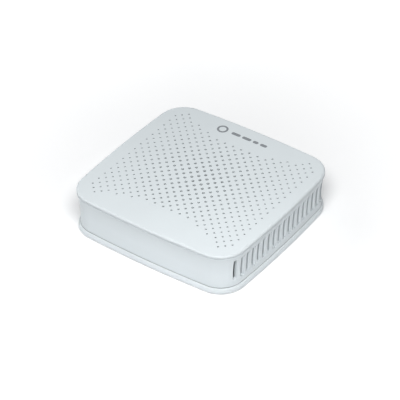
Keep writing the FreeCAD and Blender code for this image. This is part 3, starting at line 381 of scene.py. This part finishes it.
class Piece:
    """Collects small solids into one mesh, in the frame's own metres."""

    def __init__(self):
        self.mesh = bmesh.new()

    def quad_loops(self, loops, closed):
        """Skins between loops of equal length; closed joins the last loop to the first."""
        pairs = list(zip(loops, loops[1:])) + ([(loops[-1], loops[0])] if closed else [])
        for one, two in pairs:
            for i in range(len(one)):
                j = (i + 1) % len(one)
                self.mesh.faces.new((one[i], one[j], two[j], two[i]))
        if not closed:
            self.mesh.faces.new(list(reversed(loops[0])))
            self.mesh.faces.new(loops[-1])

    def strip(self, path, across, width, thickness):
        """A flat strip bent along a path of points; across is the unit direction of its width."""
        loops = []
        for i, point in enumerate(path):
            before, after = path[max(i - 1, 0)], path[min(i + 1, len(path) - 1)]
            normal = (after - before).cross(across).normalized()
            side, rise = across * width / 2, normal * thickness / 2
            loops.append([self.mesh.verts.new(point + a * side + b * rise)
                          for a, b in ((-1, -1), (1, -1), (1, 1), (-1, 1))])
        self.quad_loops(loops, False)

    def lathe(self, profile, place, axis=Z, steps=24):
        """A turned solid; profile runs over (radius, height) in mm, and is a loop or ends on the axis."""
        right = axis.orthogonal().normalized()
        up = axis.cross(right)
        on_axis = profile[0][0] == 0
        rings = []
        for radius, height in profile:
            centre = place + axis * (height * MM)
            if radius == 0:
                rings.append([self.mesh.verts.new(centre)])
                continue
            turns = [2 * math.pi * k / steps for k in range(steps)]
            spokes = [(right * math.cos(a) + up * math.sin(a)) * (radius * MM) for a in turns]
            rings.append([self.mesh.verts.new(centre + spoke) for spoke in spokes])
        pairs = list(zip(rings, rings[1:])) + ([] if on_axis else [(rings[-1], rings[0])])
        for one, two in pairs:
            for k in range(steps):
                n = (k + 1) % steps
                corners = (one[k % len(one)], one[n % len(one)], two[n % len(two)], two[k % len(two)])
                self.mesh.faces.new(list(dict.fromkeys(corners)))

    def finish(self, name, slot, body="case", crisp=SMOOTH, look=None):
        """Makes the object, gives it its slot's finish or a look of its own, and hangs it on its body."""
        bmesh.ops.recalc_face_normals(self.mesh, faces=self.mesh.faces)
        mesh = bpy.data.meshes.new(name)
        self.mesh.to_mesh(mesh)
        self.mesh.free()
        mesh.shade_smooth()
        mesh.set_sharp_from_angle(angle=math.radians(crisp))
        mesh.materials.append(MATERIALS[look or slot])
        made = place_object(name, mesh)
        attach(made, body)


class Print(Piece):
    """Thin raised shapes on a plane: ink, foil, tracks or moulded marks. Lengths on the plane are in mm."""

    def __init__(self, origin, right, up, rise):
        super().__init__()
        self.origin, self.right, self.up, self.lift = origin, right, up, right.cross(up) * rise

    def ribbon(self, one, two, closed=False):
        """The area between two lines of (u, v) points."""
        loops = []
        for a, b in zip(one, two):
            low, high = (self.origin + (self.right * u + self.up * v) * MM for u, v in (a, b))
            loops.append([self.mesh.verts.new(p) for p in (low, high, high + self.lift, low + self.lift)])
        self.quad_loops(loops, closed)

    def bar(self, u, v, width, height):
        """A rectangle by its middle."""
        low, high, half = v - height / 2, v + height / 2, width / 2
        self.ribbon([(u - half, low), (u + half, low)], [(u - half, high), (u + half, high)])

    def lines(self, left, top, step, widths, height):
        """Plain bars in place of lines of text, flush left; top is the middle of the first."""
        for line, width in enumerate(widths):
            self.bar(left + width / 2, top - step * line, width, height)

    def frame(self, u, v, width, height, line):
        """A rectangular outline."""
        for side in SIDES:
            self.bar(u, v + side * (height - line) / 2, width, line)
            self.bar(u + side * (width - line) / 2, v, line, height - 2 * line)

    def arc(self, u, v, radius, line, start=0.0, end=360.0, steps=28):
        """A ring or part of one, in degrees from the right."""
        whole = end - start >= 360
        turns = [math.radians(start + (end - start) * k / steps) for k in range(steps + (0 if whole else 1))]
        inner, outer = ([(u + r * math.cos(a), v + r * math.sin(a)) for a in turns]
                        for r in (radius - line / 2, radius + line / 2))
        self.ribbon(inner, outer, whole)

    def circle_of_rings(self, u, v, count, radius, first, ring, steps):
        """Small rings on a circle; first is the first one's place in steps, ring is its radius and line."""
        for k in range(count):
            turn = 2 * math.pi * (k + first) / count
            self.arc(u + radius * math.cos(turn), v + radius * math.sin(turn), *ring, steps=steps)

    def dot(self, u, v, radius):
        """A disk, but for a pinprick at its middle."""
        self.arc(u, v, radius * DOT_RADIUS, radius * DOT_LINE)

    def track(self, points, line):
        """Straight stretches through points."""
        for (u0, v0), (u1, v1) in zip(points, points[1:]):
            length = math.hypot(u1 - u0, v1 - v0)
            du, dv = (u1 - u0) / length * line / 2, (v1 - v0) / length * line / 2
            ends = ((u0 - du, v0 - dv), (u1 + du, v1 + dv))
            self.ribbon([(u + dv, v - du) for u, v in ends], [(u - dv, v + du) for u, v in ends])


def middle(node):
    low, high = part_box(node)
    return (low + high) / 2


# ---------------------------------------------------------------- rear side
PANEL_FACE_Y = 49.5 * MM
PORT_FACE_Y = 50.0 * MM
INK_RISE = 0.04 * MM
LEFTWARD = -X      # to the right, for someone who looks at the rear or up at the underside

# Signs, in mm and degrees: a radius goes with the line of its ring
SIGN_LINE = 0.3
FIBRE_SIGN_Z = 19.7 * MM
FIBRE_RADIUS, FIBRE_DOT = 1.35, 0.5
FIBRE_BAR_U, FIBRE_BAR = 3.2, 2.4
PINHOLE_RING = (2.0, 0.25)
ARROW_V, ARROW_RADIUS, ARROW_TURN = 4.6, 1.2, (60, 350)
ARROW_HEAD = [(0.75, 5.95), (0.45, 5.1)], [(0.75, 5.97), (1.5, 5.45)]
POWER_SIGN_ABOVE = 5.9 * MM
POWER_RING, BUTTON_RING = (1.2, 0.32), (1.45, 0.3)
POWER_TURN = (125, 415)
POWER_BAR_V, POWER_BAR_HEIGHT = 0.75, 1.3       # times the radius

# Folded hems of the LAN jacks, in mm
HEM_RISE = 0.18 * MM
WINDOW_BELOW_TOP = 6.8
WINDOW = (13.9, 12.5)
HEM_LINE = 0.35

# Optical port, in mm: an arm runs over its distance from the middle and Y, and the sleeve's section over its
# radius and its height past the ferrule
ARM_LINE = ((3.15, 31.5), (3.15, 36.0), (3.2, 40.5), (3.35, 41.8), (3.0, 42.7), (3.3, 43.5))
ARM_HEIGHT, ARM_THICKNESS = 3.0 * MM, 0.45 * MM
SLEEVE = ((1.28, -2.0), (1.28, 0.05), (1.4, 0.2), (1.75, 0.2), (1.85, 0.1), (1.85, -2.0))
SLEEVE_STEPS = 36


def rear_print(x, y, z, rise=INK_RISE):
    """A print on a face that looks to the rear."""
    return Print(Vector((x, y, z)), LEFTWARD, Z, rise)


def fibre_sign():
    """A ring with a dot in it and a bar either side."""
    ink = rear_print(middle("optical_port_shell").x, PANEL_FACE_Y, FIBRE_SIGN_Z)
    ink.arc(0, 0, FIBRE_RADIUS, SIGN_LINE)
    ink.dot(0, 0, FIBRE_DOT)
    for side in SIDES:
        ink.bar(side * FIBRE_BAR_U, 0, FIBRE_BAR, SIGN_LINE)
    ink.finish("fibre_sign", "mark_ink")


def reset_sign():
    """A ring round the pinhole with a turning arrow above it."""
    hole = middle("reset_plunger")
    ink = rear_print(hole.x, PANEL_FACE_Y, hole.z)
    ink.arc(0, 0, *PINHOLE_RING)
    ink.arc(0, ARROW_V, ARROW_RADIUS, SIGN_LINE, *ARROW_TURN)
    ink.ribbon(*ARROW_HEAD)
    ink.finish("reset_sign", "mark_ink")


def power_sign(ink, name, ring, body="case"):
    """A ring, open at the top, with an upright bar in the gap."""
    radius, line = ring
    ink.arc(0, 0, radius, line, *POWER_TURN)
    ink.bar(0, radius * POWER_BAR_V, line, radius * POWER_BAR_HEIGHT)
    ink.finish(name, "mark_ink", body)


def power_signs():
    """One sign on the panel, and one on the button that moves with it."""
    face_y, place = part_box("power_button")[1].y, middle("power_button")
    power_sign(rear_print(place.x, PANEL_FACE_Y, place.z + POWER_SIGN_ABOVE), "power_sign", POWER_RING)
    power_sign(rear_print(place.x, face_y, place.z), "power_button_sign", BUTTON_RING, "power_button")


def jack_hems():
    """The folded hem round the window of each LAN jack."""
    hem = rear_print(0, PORT_FACE_Y, 0, HEM_RISE)
    for node in ("lan_jack_shield_1", "lan_jack_shield_2"):
        hem.frame(-middle(node).x / MM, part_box(node)[1].z / MM - WINDOW_BELOW_TOP, *WINDOW, HEM_LINE)
    hem.finish("lan_jack_hems", "jack_nickel", crisp=FOLDED)


def optical_details():
    """Latch arms either side of the ferrule receptacle and the white sleeve in its mouth."""
    x, z = middle("optical_port_shell").x, middle("ferrule_receptacle").z
    arms = Piece()
    for side in SIDES:
        path = [Vector((x + side * u * MM, y * MM, z)) for u, y in ARM_LINE]
        arms.strip(path, Z, ARM_HEIGHT, ARM_THICKNESS)
    arms.finish("optical_latch_arms", "panel_white", crisp=SPRUNG)
    sleeve = Piece()
    sleeve.lathe(SLEEVE, Vector((x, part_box("ferrule_receptacle")[1].y, z)), Y, SLEEVE_STEPS)
    sleeve.finish("ferrule_sleeve", "label_film")


# ---------------------------------------------------------------- underside
# Rating label, in mm from its middle
LABEL_INK_RISE = 0.02 * MM
LABEL_BORDER = (48.0, 30.0, 0.3)                    # width, height and line
RULE_HEIGHTS, RULE = (7.0, -6.5), (47.4, 0.25)
BADGE, BADGE_BORDER, BADGE_BAR = (-18.0, 11.0), (7.0, 5.0, 0.35), (3.4, 1.6)
TITLE_LINES = (-11.0, 12.2, 2.6, (26.0, 21.0), 1.1)     # left, top, step, widths and height
TEXT_LINES = (-21.5, 4.9, 2.4, (15.0, 18.5, 12.0, 16.5, 10.0), 0.9)
FOOTER_U, FOOTER_V, FOOTER_STEP = 11.0, -8.8, 2.0
FOOTER_WIDTHS, FOOTER_HEIGHT = (20.0, 16.0, 12.0), 0.9
STRIPES, STRIPE_WIDTH = 24, 0.22                    # how many, and the width of the thinnest
STRIPES_LEFT, STRIPES_V, STRIPES_HEIGHT = 3.0, 0.3, 7.6
POLARITY, POLARITY_STEP = (-13.0, -10.7), 6.0       # middle of the sign, and from ring to ring
POLARITY_RADIUS, POLARITY_LINE, POLARITY_DOT = 1.5, 0.3, 0.5
POLARITY_DASH, POLARITY_UPRIGHT = 1.4, 0.55
POLARITY_UPRIGHT_V = 0.45

# Date dials, in mm
DIALS_PLACE = Vector((0.0, -0.043, 0.001))          # metres
DIAL_U, DIAL_RISE = 14.0, 0.12 * MM
DIAL_RINGS = ((3.0, 0.25), (1.4, 0.2))              # radius and line
DIAL_HAND = (0.35, 0.3, 1.6)                        # middle, width and length
DIAL_MONTHS, DIAL_MONTHS_RADIUS, DIAL_MONTH, DIAL_MONTH_STEPS = 12, 2.2, (0.12, 0.16), 8


def label_stripes(ink):
    """Upright stripes of uneven width that hold no code."""
    edge = STRIPES_LEFT
    for k in range(STRIPES):
        width, gap = STRIPE_WIDTH * (1 + k * 7 % 3), STRIPE_WIDTH * (1 + k * 5 % 2)
        ink.bar(edge + width / 2, STRIPES_V, width, STRIPES_HEIGHT)
        edge += width + gap


def polarity_sign(ink):
    """Minus, the plug's centre and plus in three rings with lines between them: centre-positive."""
    u, v = POLARITY
    for step in (-1, 0, 1):
        ink.arc(u + step * POLARITY_STEP, v, POLARITY_RADIUS, POLARITY_LINE)
    ink.dot(u, v, POLARITY_DOT)
    for side in SIDES:
        ink.bar(u + side * POLARITY_STEP / 2, v, POLARITY_STEP / 2, POLARITY_LINE)
        ink.bar(u + side * POLARITY_STEP, v, POLARITY_DASH, POLARITY_LINE)
        ink.bar(u + POLARITY_STEP, v + side * POLARITY_UPRIGHT_V, POLARITY_LINE, POLARITY_UPRIGHT)


def label_print():
    """Frame, rules, plain bars, stripes and a polarity sign on the rating label; no words."""
    place = middle("rating_label")
    ink = Print(Vector((place.x, place.y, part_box("rating_label")[0].z)), LEFTWARD, Y, LABEL_INK_RISE)
    ink.frame(0, 0, *LABEL_BORDER)
    for v in RULE_HEIGHTS:
        ink.bar(0, v, *RULE)
    ink.frame(*BADGE, *BADGE_BORDER)
    ink.bar(*BADGE, *BADGE_BAR)
    ink.lines(*TITLE_LINES)
    ink.lines(*TEXT_LINES)
    for line, width in enumerate(FOOTER_WIDTHS):
        ink.bar(FOOTER_U, FOOTER_V - FOOTER_STEP * line, width, FOOTER_HEIGHT)
    label_stripes(ink)
    polarity_sign(ink)
    ink.finish("label_print", "mark_ink")


def mould_marks():
    """Two date dials raised from the bottom cover."""
    dials = Print(DIALS_PLACE, LEFTWARD, Y, DIAL_RISE)
    hand_v, hand_width, hand_length = DIAL_HAND
    for side in SIDES:
        u = side * DIAL_U
        for ring in DIAL_RINGS:
            dials.arc(u, 0, *ring)
        dials.bar(u, hand_v, hand_width, hand_length)
        dials.circle_of_rings(u, 0, DIAL_MONTHS, DIAL_MONTHS_RADIUS, 0, DIAL_MONTH, DIAL_MONTH_STEPS)
    dials.finish("mould_dials", "case_white")


# ---------------------------------------------------------------- circuit board
BOARD_LOW_Z, BOARD_TOP = (corner.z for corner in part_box("main_board"))
COPPER_RISE, GILT_RISE, SILK_RISE = 0.03 * MM, 0.04 * MM, 0.05 * MM
WELD = 1e-6             # corners nearer than this are one
SAME_PLACE = 5          # decimals of a metre that tell places apart in a sort

# Copper, in mm. A via is its radius and line.
TRACK = 0.2
VIA_STEPS = 10
MEMORY_TRACKS = 12
MEMORY_START, MEMORY_START_STEP = 1.0, 0.55         # along the processor's side
MEMORY_BEND, MEMORY_BEND_STEP = 5.5, 0.35           # before the memory's side
MEMORY_END, MEMORY_END_STEP = 1.5, 0.8              # along the memory's side
MEMORY_VIA_REACH, MEMORY_VIA_STAGGER, MEMORY_VIA = 1.2, 0.5, (0.2, 0.12)
FLASH_TRACKS = 6
FLASH_START, FLASH_START_STEP = 1.5, 0.6            # along the processor's front
FLASH_TURN, FLASH_TURN_STEP = 1.2, 0.5              # past the flash chip's middle
FLASH_GAP, FLASH_VIA = 1.0, (0.22, 0.14)
LAN_PINS, LAN_PITCH, LAN_TRACK = 8, 1.6, 0.25
LAN_REACHES = ((-1, 3.4), (1, 8.5))                 # side of the transformer, and length of its tracks
LAN_VIA = (0.3, 0.18)
SCREW_RING = (3.3, 0.9)
SCREW_VIAS, SCREW_VIAS_RADIUS, SCREW_VIA = 8, 4.5, (0.25, 0.16)

# Silkscreen, in mm
OUTLINED = ("processor", "memory_chip", "flash_chip", "power_regulator", "clock_crystal", "optics_shield")
OUTLINE_MARGIN, OUTLINE = 1.2, 0.15
PIN_DOT_U, PIN_DOT_V, PIN_DOT = 1.1, 0.3, 0.3
ROUND_MARGIN, ROUND_OUTLINE = 0.5, 0.18
DASH_BELOW, DASH = 1.2, (1.2, 0.2)
SMALL_GAP, SMALL_MARGIN, SMALL_LINE = 0.35, 0.3, 0.12

# Leads, in mm
SHOULDER = 0.45         # times the chip's height
FOOT_RISE, LEAD_THICKNESS = 0.11 * MM, 0.15 * MM
LEAD_ROOT, LEAD_SHOULDER = -0.1, 0.3    # how far out of the chip the lead starts and turns down
LEAD_SLOPE = 0.25       # times the foot's reach
FLASH_LEADS = (4, 1.27, 0.42, 0.9)      # count a side, pitch, width and reach
LAN_LEADS = (LAN_PINS, LAN_PITCH, 0.5, 1.2)

# Marks on the chips: the first pin's ring in mm, and bars as shares of the chip's width and depth
MARK_RISE = 0.02 * MM
FIRST_PIN, FIRST_PIN_RING, FIRST_PIN_STEPS = 0.9, (0.35, 0.12), 14
MARK_LEFT, MARK_WIDTHS = 0.31, (0.62, 0.50, 0.38)
MARK_TOP, MARK_STEP, MARK_HEIGHT = 0.22, 0.17, 0.07

# Tinned ends of the small parts, in mm
TIN_RISE = 0.02 * MM
TIN_INSET, TIN_WIDTH, TIN_MARGIN = 0.13, 0.34, 0.04

# Capacitors: the aluminium top, the scores in it and the film down the can
CAP_TOP_STEPS = 32
CAP_TOP_EDGE, CAP_TOP_FACE = 0.8, 0.76              # times the can's radius
CAP_TOP_RISE, CAP_TOP_SHOULDER = 0.05, 0.02         # mm
SCORE_LENGTH, SCORE_SIDE, SCORE_SIDE_LENGTH = 0.6, 0.16, 0.25       # times the can's width
SCORE = 0.2             # mm
FILM_TURN, FILM_SPAN, FILM_STEPS = -115, 50, 8      # where it starts and how far it goes round, in degrees
FILM_IN, FILM_OUT = 0.02 * MM, 0.04 * MM            # how far it reaches into and out of the can
FILM_FROM_FOOT, FILM_FROM_TOP = 1.0 * MM, 0.8 * MM

# Solder, in mm: a joint's profile over radius and height, and the pins of each part
SOLDER = ((0, 0), (0.85, 0), (0.4, -0.55), (0.3, -1.0), (0, -1.15))
SOLDER_STEPS = 12
JACK_PINS, JACK_PITCH, JACK_STAGGER = 8, 1.27, 2.54
JACK_PINS_FORWARD = 0.3             # times the jack's depth, in front of its middle
JACK_TAB_INSET, JACK_TAB_V = 0.3, 2.0
PIN_GRIDS = {       # rows of pins across and along
    "dc_jack_body": (2, 2), "power_switch_body": (2, 3), "reset_switch_body": (2, 1),
    "transceiver_body": (2, 2), "optics_shield": (2, 2),
}
PIN_SPREAD, PIN_STEP = 0.7, 0.3     # shares of the part's width and depth
CAP_PIN = 1.75          # from the can's middle


def solids(node):
    """The boxes of a node's separate solids, from left to right and front to rear."""
    mesh = bmesh.new()
    mesh.from_mesh(NODES[node].data)
    bmesh.ops.remove_doubles(mesh, verts=mesh.verts, dist=WELD)
    seen, boxes = set(), []
    for start in mesh.verts:
        if start in seen:
            continue
        seen.add(start)
        group = [start]
        for vert in group:
            for edge in vert.link_edges:
                other = edge.other_vert(vert)
                if other not in seen:
                    seen.add(other)
                    group.append(other)
        boxes.append([Vector([pick(vert.co[i] for vert in group) for i in range(3)]) for pick in (min, max)])
    mesh.free()
    return sorted(boxes, key=lambda box: (round(box[0].x, SAME_PLACE), round(box[0].y, SAME_PLACE)))


def plan(box):
    """Middle and size of a box in plan, in mm."""
    low, high = box[0] / MM, box[1] / MM
    return (low.x + high.x) / 2, (low.y + high.y) / 2, high.x - low.x, high.y - low.y


def flat_print(z, rise):
    """A print on a level face, its lengths measured from the frame's own middle."""
    return Print(Vector((0, 0, z)), X, Y, rise)


def memory_bus(tracks, gilt):
    """Tracks with two bends from the processor's right side to the memory's left."""
    px, py, pw, ph = plan(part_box("processor"))
    mx, my, mw, mh = plan(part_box("memory_chip"))
    for k in range(MEMORY_TRACKS):
        start = (px + pw / 2, py - ph / 2 + MEMORY_START + MEMORY_START_STEP * k)
        bend = (mx - mw / 2 - MEMORY_BEND + MEMORY_BEND_STEP * k, start[1])
        end = (mx - mw / 2, my - mh / 2 + MEMORY_END + MEMORY_END_STEP * k)
        tracks.track([start, bend, (bend[0], end[1]), end], TRACK)
        via_u = start[0] + MEMORY_VIA_REACH + MEMORY_VIA_STAGGER * (k % 2)
        gilt.arc(via_u, start[1], *MEMORY_VIA, steps=VIA_STEPS)


def flash_bus(tracks, gilt):
    """Tracks with one bend from the processor's front to the flash chip's right side."""
    px, py, pw, ph = plan(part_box("processor"))
    fx, fy, fw, _ = plan(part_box("flash_chip"))
    for k in range(FLASH_TRACKS):
        start = (px - pw / 2 + FLASH_START + FLASH_START_STEP * k, py - ph / 2)
        corner = (start[0], fy + FLASH_TURN - FLASH_TURN_STEP * k)
        tracks.track([start, corner, (fx + fw / 2 + FLASH_GAP, corner[1])], TRACK)
        gilt.arc(*corner, *FLASH_VIA, steps=VIA_STEPS)


def lan_tracks(tracks, gilt):
    """A track from every pin of the line transformers, forward and back."""
    for x, y, _, depth in map(plan, solids("lan_transformers")):
        for k in range(LAN_PINS):
            u = x + (k - (LAN_PINS - 1) / 2) * LAN_PITCH
            for side, reach in LAN_REACHES:
                root, tip = (y + side * (depth / 2 + out) for out in (0, reach))
                tracks.track([(u, root), (u, tip)], LAN_TRACK)
                gilt.arc(u, tip, *LAN_VIA, steps=VIA_STEPS)


def board_copper():
    """Tracks under the solder mask, and gilt rings at the vias and round the screw holes."""
    tracks, gilt = flat_print(BOARD_TOP, COPPER_RISE), flat_print(BOARD_TOP, GILT_RISE)
    memory_bus(tracks, gilt)
    flash_bus(tracks, gilt)
    lan_tracks(tracks, gilt)
    for x, y, _, _ in map(plan, solids("board_screws")):
        gilt.arc(x, y, *SCREW_RING)
        gilt.circle_of_rings(x, y, SCREW_VIAS, SCREW_VIAS_RADIUS, 0.5, SCREW_VIA, VIA_STEPS)
    tracks.finish("board_tracks", "board_green", look="track_green")
    gilt.finish("board_gilding", "contact_gold")


def board_silkscreen():
    """White outlines round the parts, with a dot at each first pin."""
    ink = flat_print(BOARD_TOP, SILK_RISE)
    boxes = [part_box(node) for node in OUTLINED] + solids("lan_transformers") + solids("power_inductors")
    for x, y, width, depth in map(plan, boxes):
        ink.frame(x, y, width + OUTLINE_MARGIN, depth + OUTLINE_MARGIN, OUTLINE)
        ink.dot(x - width / 2 - PIN_DOT_U, y - depth / 2 - PIN_DOT_V, PIN_DOT)
    for x, y, width, _ in map(plan, solids("electrolytic_capacitors")):
        ink.arc(x, y, width / 2 + ROUND_MARGIN, ROUND_OUTLINE)
        ink.bar(x, y - width / 2 - DASH_BELOW, *DASH)
    for x, y, width, depth in map(plan, solids("chip_passives")):
        for side in SIDES:
            ink.bar(x, y + side * (depth / 2 + SMALL_GAP), width + SMALL_MARGIN, SMALL_LINE)
    ink.finish("board_silkscreen", "panel_white")


def gull_wings(leads, box, count, pitch, width, reach):
    """Two rows of bent leads along the long sides of a chip."""
    low, high = box
    shoulder, foot = BOARD_TOP + (high.z - low.z) * SHOULDER, BOARD_TOP + FOOT_RISE
    steps = ((LEAD_ROOT, shoulder), (LEAD_SHOULDER, shoulder), (LEAD_SHOULDER + LEAD_SLOPE * reach, foot),
             (LEAD_SHOULDER + reach, foot))
    for side, edge in ((-1, low.y), (1, high.y)):
        for k in range(count):
            x = (low.x + high.x) / 2 + (k - (count - 1) / 2) * pitch * MM
            path = [Vector((x, edge + side * u * MM, z)) for u, z in steps]
            leads.strip(path, X, width * MM, LEAD_THICKNESS)


def chip_leads():
    leads = Piece()
    gull_wings(leads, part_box("flash_chip"), *FLASH_LEADS)
    for box in solids("lan_transformers"):
        gull_wings(leads, box, *LAN_LEADS)
    leads.finish("chip_leads", "jack_nickel", crisp=FOLDED)


def chip_marks():
    """A first-pin ring and plain bars on each chip in place of its marking."""
    for node in ("memory_chip", "flash_chip", "power_regulator", "lan_transformers"):
        ink = flat_print(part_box(node)[1].z, MARK_RISE)
        for x, y, width, depth in map(plan, solids(node)):
            ink.arc(x - width / 2 + FIRST_PIN, y - depth / 2 + FIRST_PIN, *FIRST_PIN_RING,
                    steps=FIRST_PIN_STEPS)
            ink.lines(x - width * MARK_LEFT, y + depth * MARK_TOP, depth * MARK_STEP,
                      [width * share for share in MARK_WIDTHS], depth * MARK_HEIGHT)
        ink.finish(node + "_marks", "pad_grey")


def passive_terminals():
    """Tinned ends on the small parts."""
    tin = flat_print(BOARD_TOP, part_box("chip_passives")[1].z - BOARD_TOP + TIN_RISE)
    for x, y, width, depth in map(plan, solids("chip_passives")):
        for side in SIDES:
            tin.bar(x + side * (width / 2 - TIN_INSET), y, TIN_WIDTH, depth + TIN_MARGIN)
    tin.finish("passive_terminals", "jack_nickel")


def capacitor_film(films, x, y, radius, low_z, high_z):
    """A pale film down a can, over part of its turn."""
    inner, outer = radius - FILM_IN, radius + FILM_OUT
    loops = []
    for k in range(FILM_STEPS + 1):
        turn = math.radians(FILM_TURN + FILM_SPAN * k / FILM_STEPS)
        out = Vector((math.cos(turn), math.sin(turn), 0))
        loops.append([films.mesh.verts.new(Vector((x * MM, y * MM, z)) + out * r)
                      for r, z in ((inner, low_z), (outer, low_z), (outer, high_z), (inner, high_z))])
    films.quad_loops(loops, False)


def capacitor_details():
    """Aluminium tops with their vent scores, and the pale stripe down the negative side."""
    tops, films = Piece(), Piece()
    scores = flat_print(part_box("electrolytic_capacitors")[1].z + CAP_TOP_RISE * MM, MARK_RISE)
    for low, high in solids("electrolytic_capacitors"):
        x, y, width, _ = plan((low, high))
        edge, face = width / 2 * CAP_TOP_EDGE, width / 2 * CAP_TOP_FACE
        profile = ((0, -CAP_TOP_RISE), (edge, -CAP_TOP_RISE), (edge, CAP_TOP_SHOULDER), (face, CAP_TOP_RISE),
                   (0, CAP_TOP_RISE))
        tops.lathe(profile, Vector((x * MM, y * MM, high.z)), steps=CAP_TOP_STEPS)
        scores.bar(x, y, width * SCORE_LENGTH, SCORE)
        for side in SIDES:
            scores.bar(x, y + side * width * SCORE_SIDE, SCORE, width * SCORE_SIDE_LENGTH)
        capacitor_film(films, x, y, width / 2 * MM, low.z + FILM_FROM_FOOT, high.z - FILM_FROM_TOP)
    tops.finish("capacitor_tops", "crystal_steel")
    scores.finish("capacitor_scores", "mark_ink")
    films.finish("capacitor_stripes", "label_film")


def pin_places():
    """Where the pins of the ports, switches and capacitors come through the board, in mm."""
    places = []
    for node in ("lan_jack_shield_1", "lan_jack_shield_2"):
        x, y, width, depth = plan(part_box(node))
        first_u, front_v = x - (JACK_PINS - 1) / 2 * JACK_PITCH, y - depth * JACK_PINS_FORWARD
        places += [(first_u + k * JACK_PITCH, front_v - JACK_STAGGER * (k % 2)) for k in range(JACK_PINS)]
        places += [(x + side * (width / 2 - JACK_TAB_INSET), y + JACK_TAB_V) for side in SIDES]
    for node, (across, along) in PIN_GRIDS.items():
        x, y, width, depth = plan(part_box(node))
        step_u, step_v = width * PIN_SPREAD, depth * PIN_STEP
        places += [(x + (i - (across - 1) / 2) * step_u, y + (j - (along - 1) / 2) * step_v)
                   for i in range(across) for j in range(along)]
    for x, y, _, _ in map(plan, solids("electrolytic_capacitors")):
        places += [(x, y + side * CAP_PIN) for side in SIDES]
    return places


def solder_joints():
    """Cones of solder under the board, one at each pin."""
    solder = Piece()
    for x, y in pin_places():
        solder.lathe(SOLDER, Vector((x * MM, y * MM, BOARD_LOW_Z)), steps=SOLDER_STEPS)
    solder.finish("solder_joints", "receptacle_steel")


make_camera()
make_light()
make_floor()
dress_frame()
fibre_sign()
reset_sign()
power_signs()
jack_hems()
optical_details()
label_print()
mould_marks()
board_copper()
board_silkscreen()
chip_leads()
chip_marks()
passive_terminals()
capacitor_details()
solder_joints()
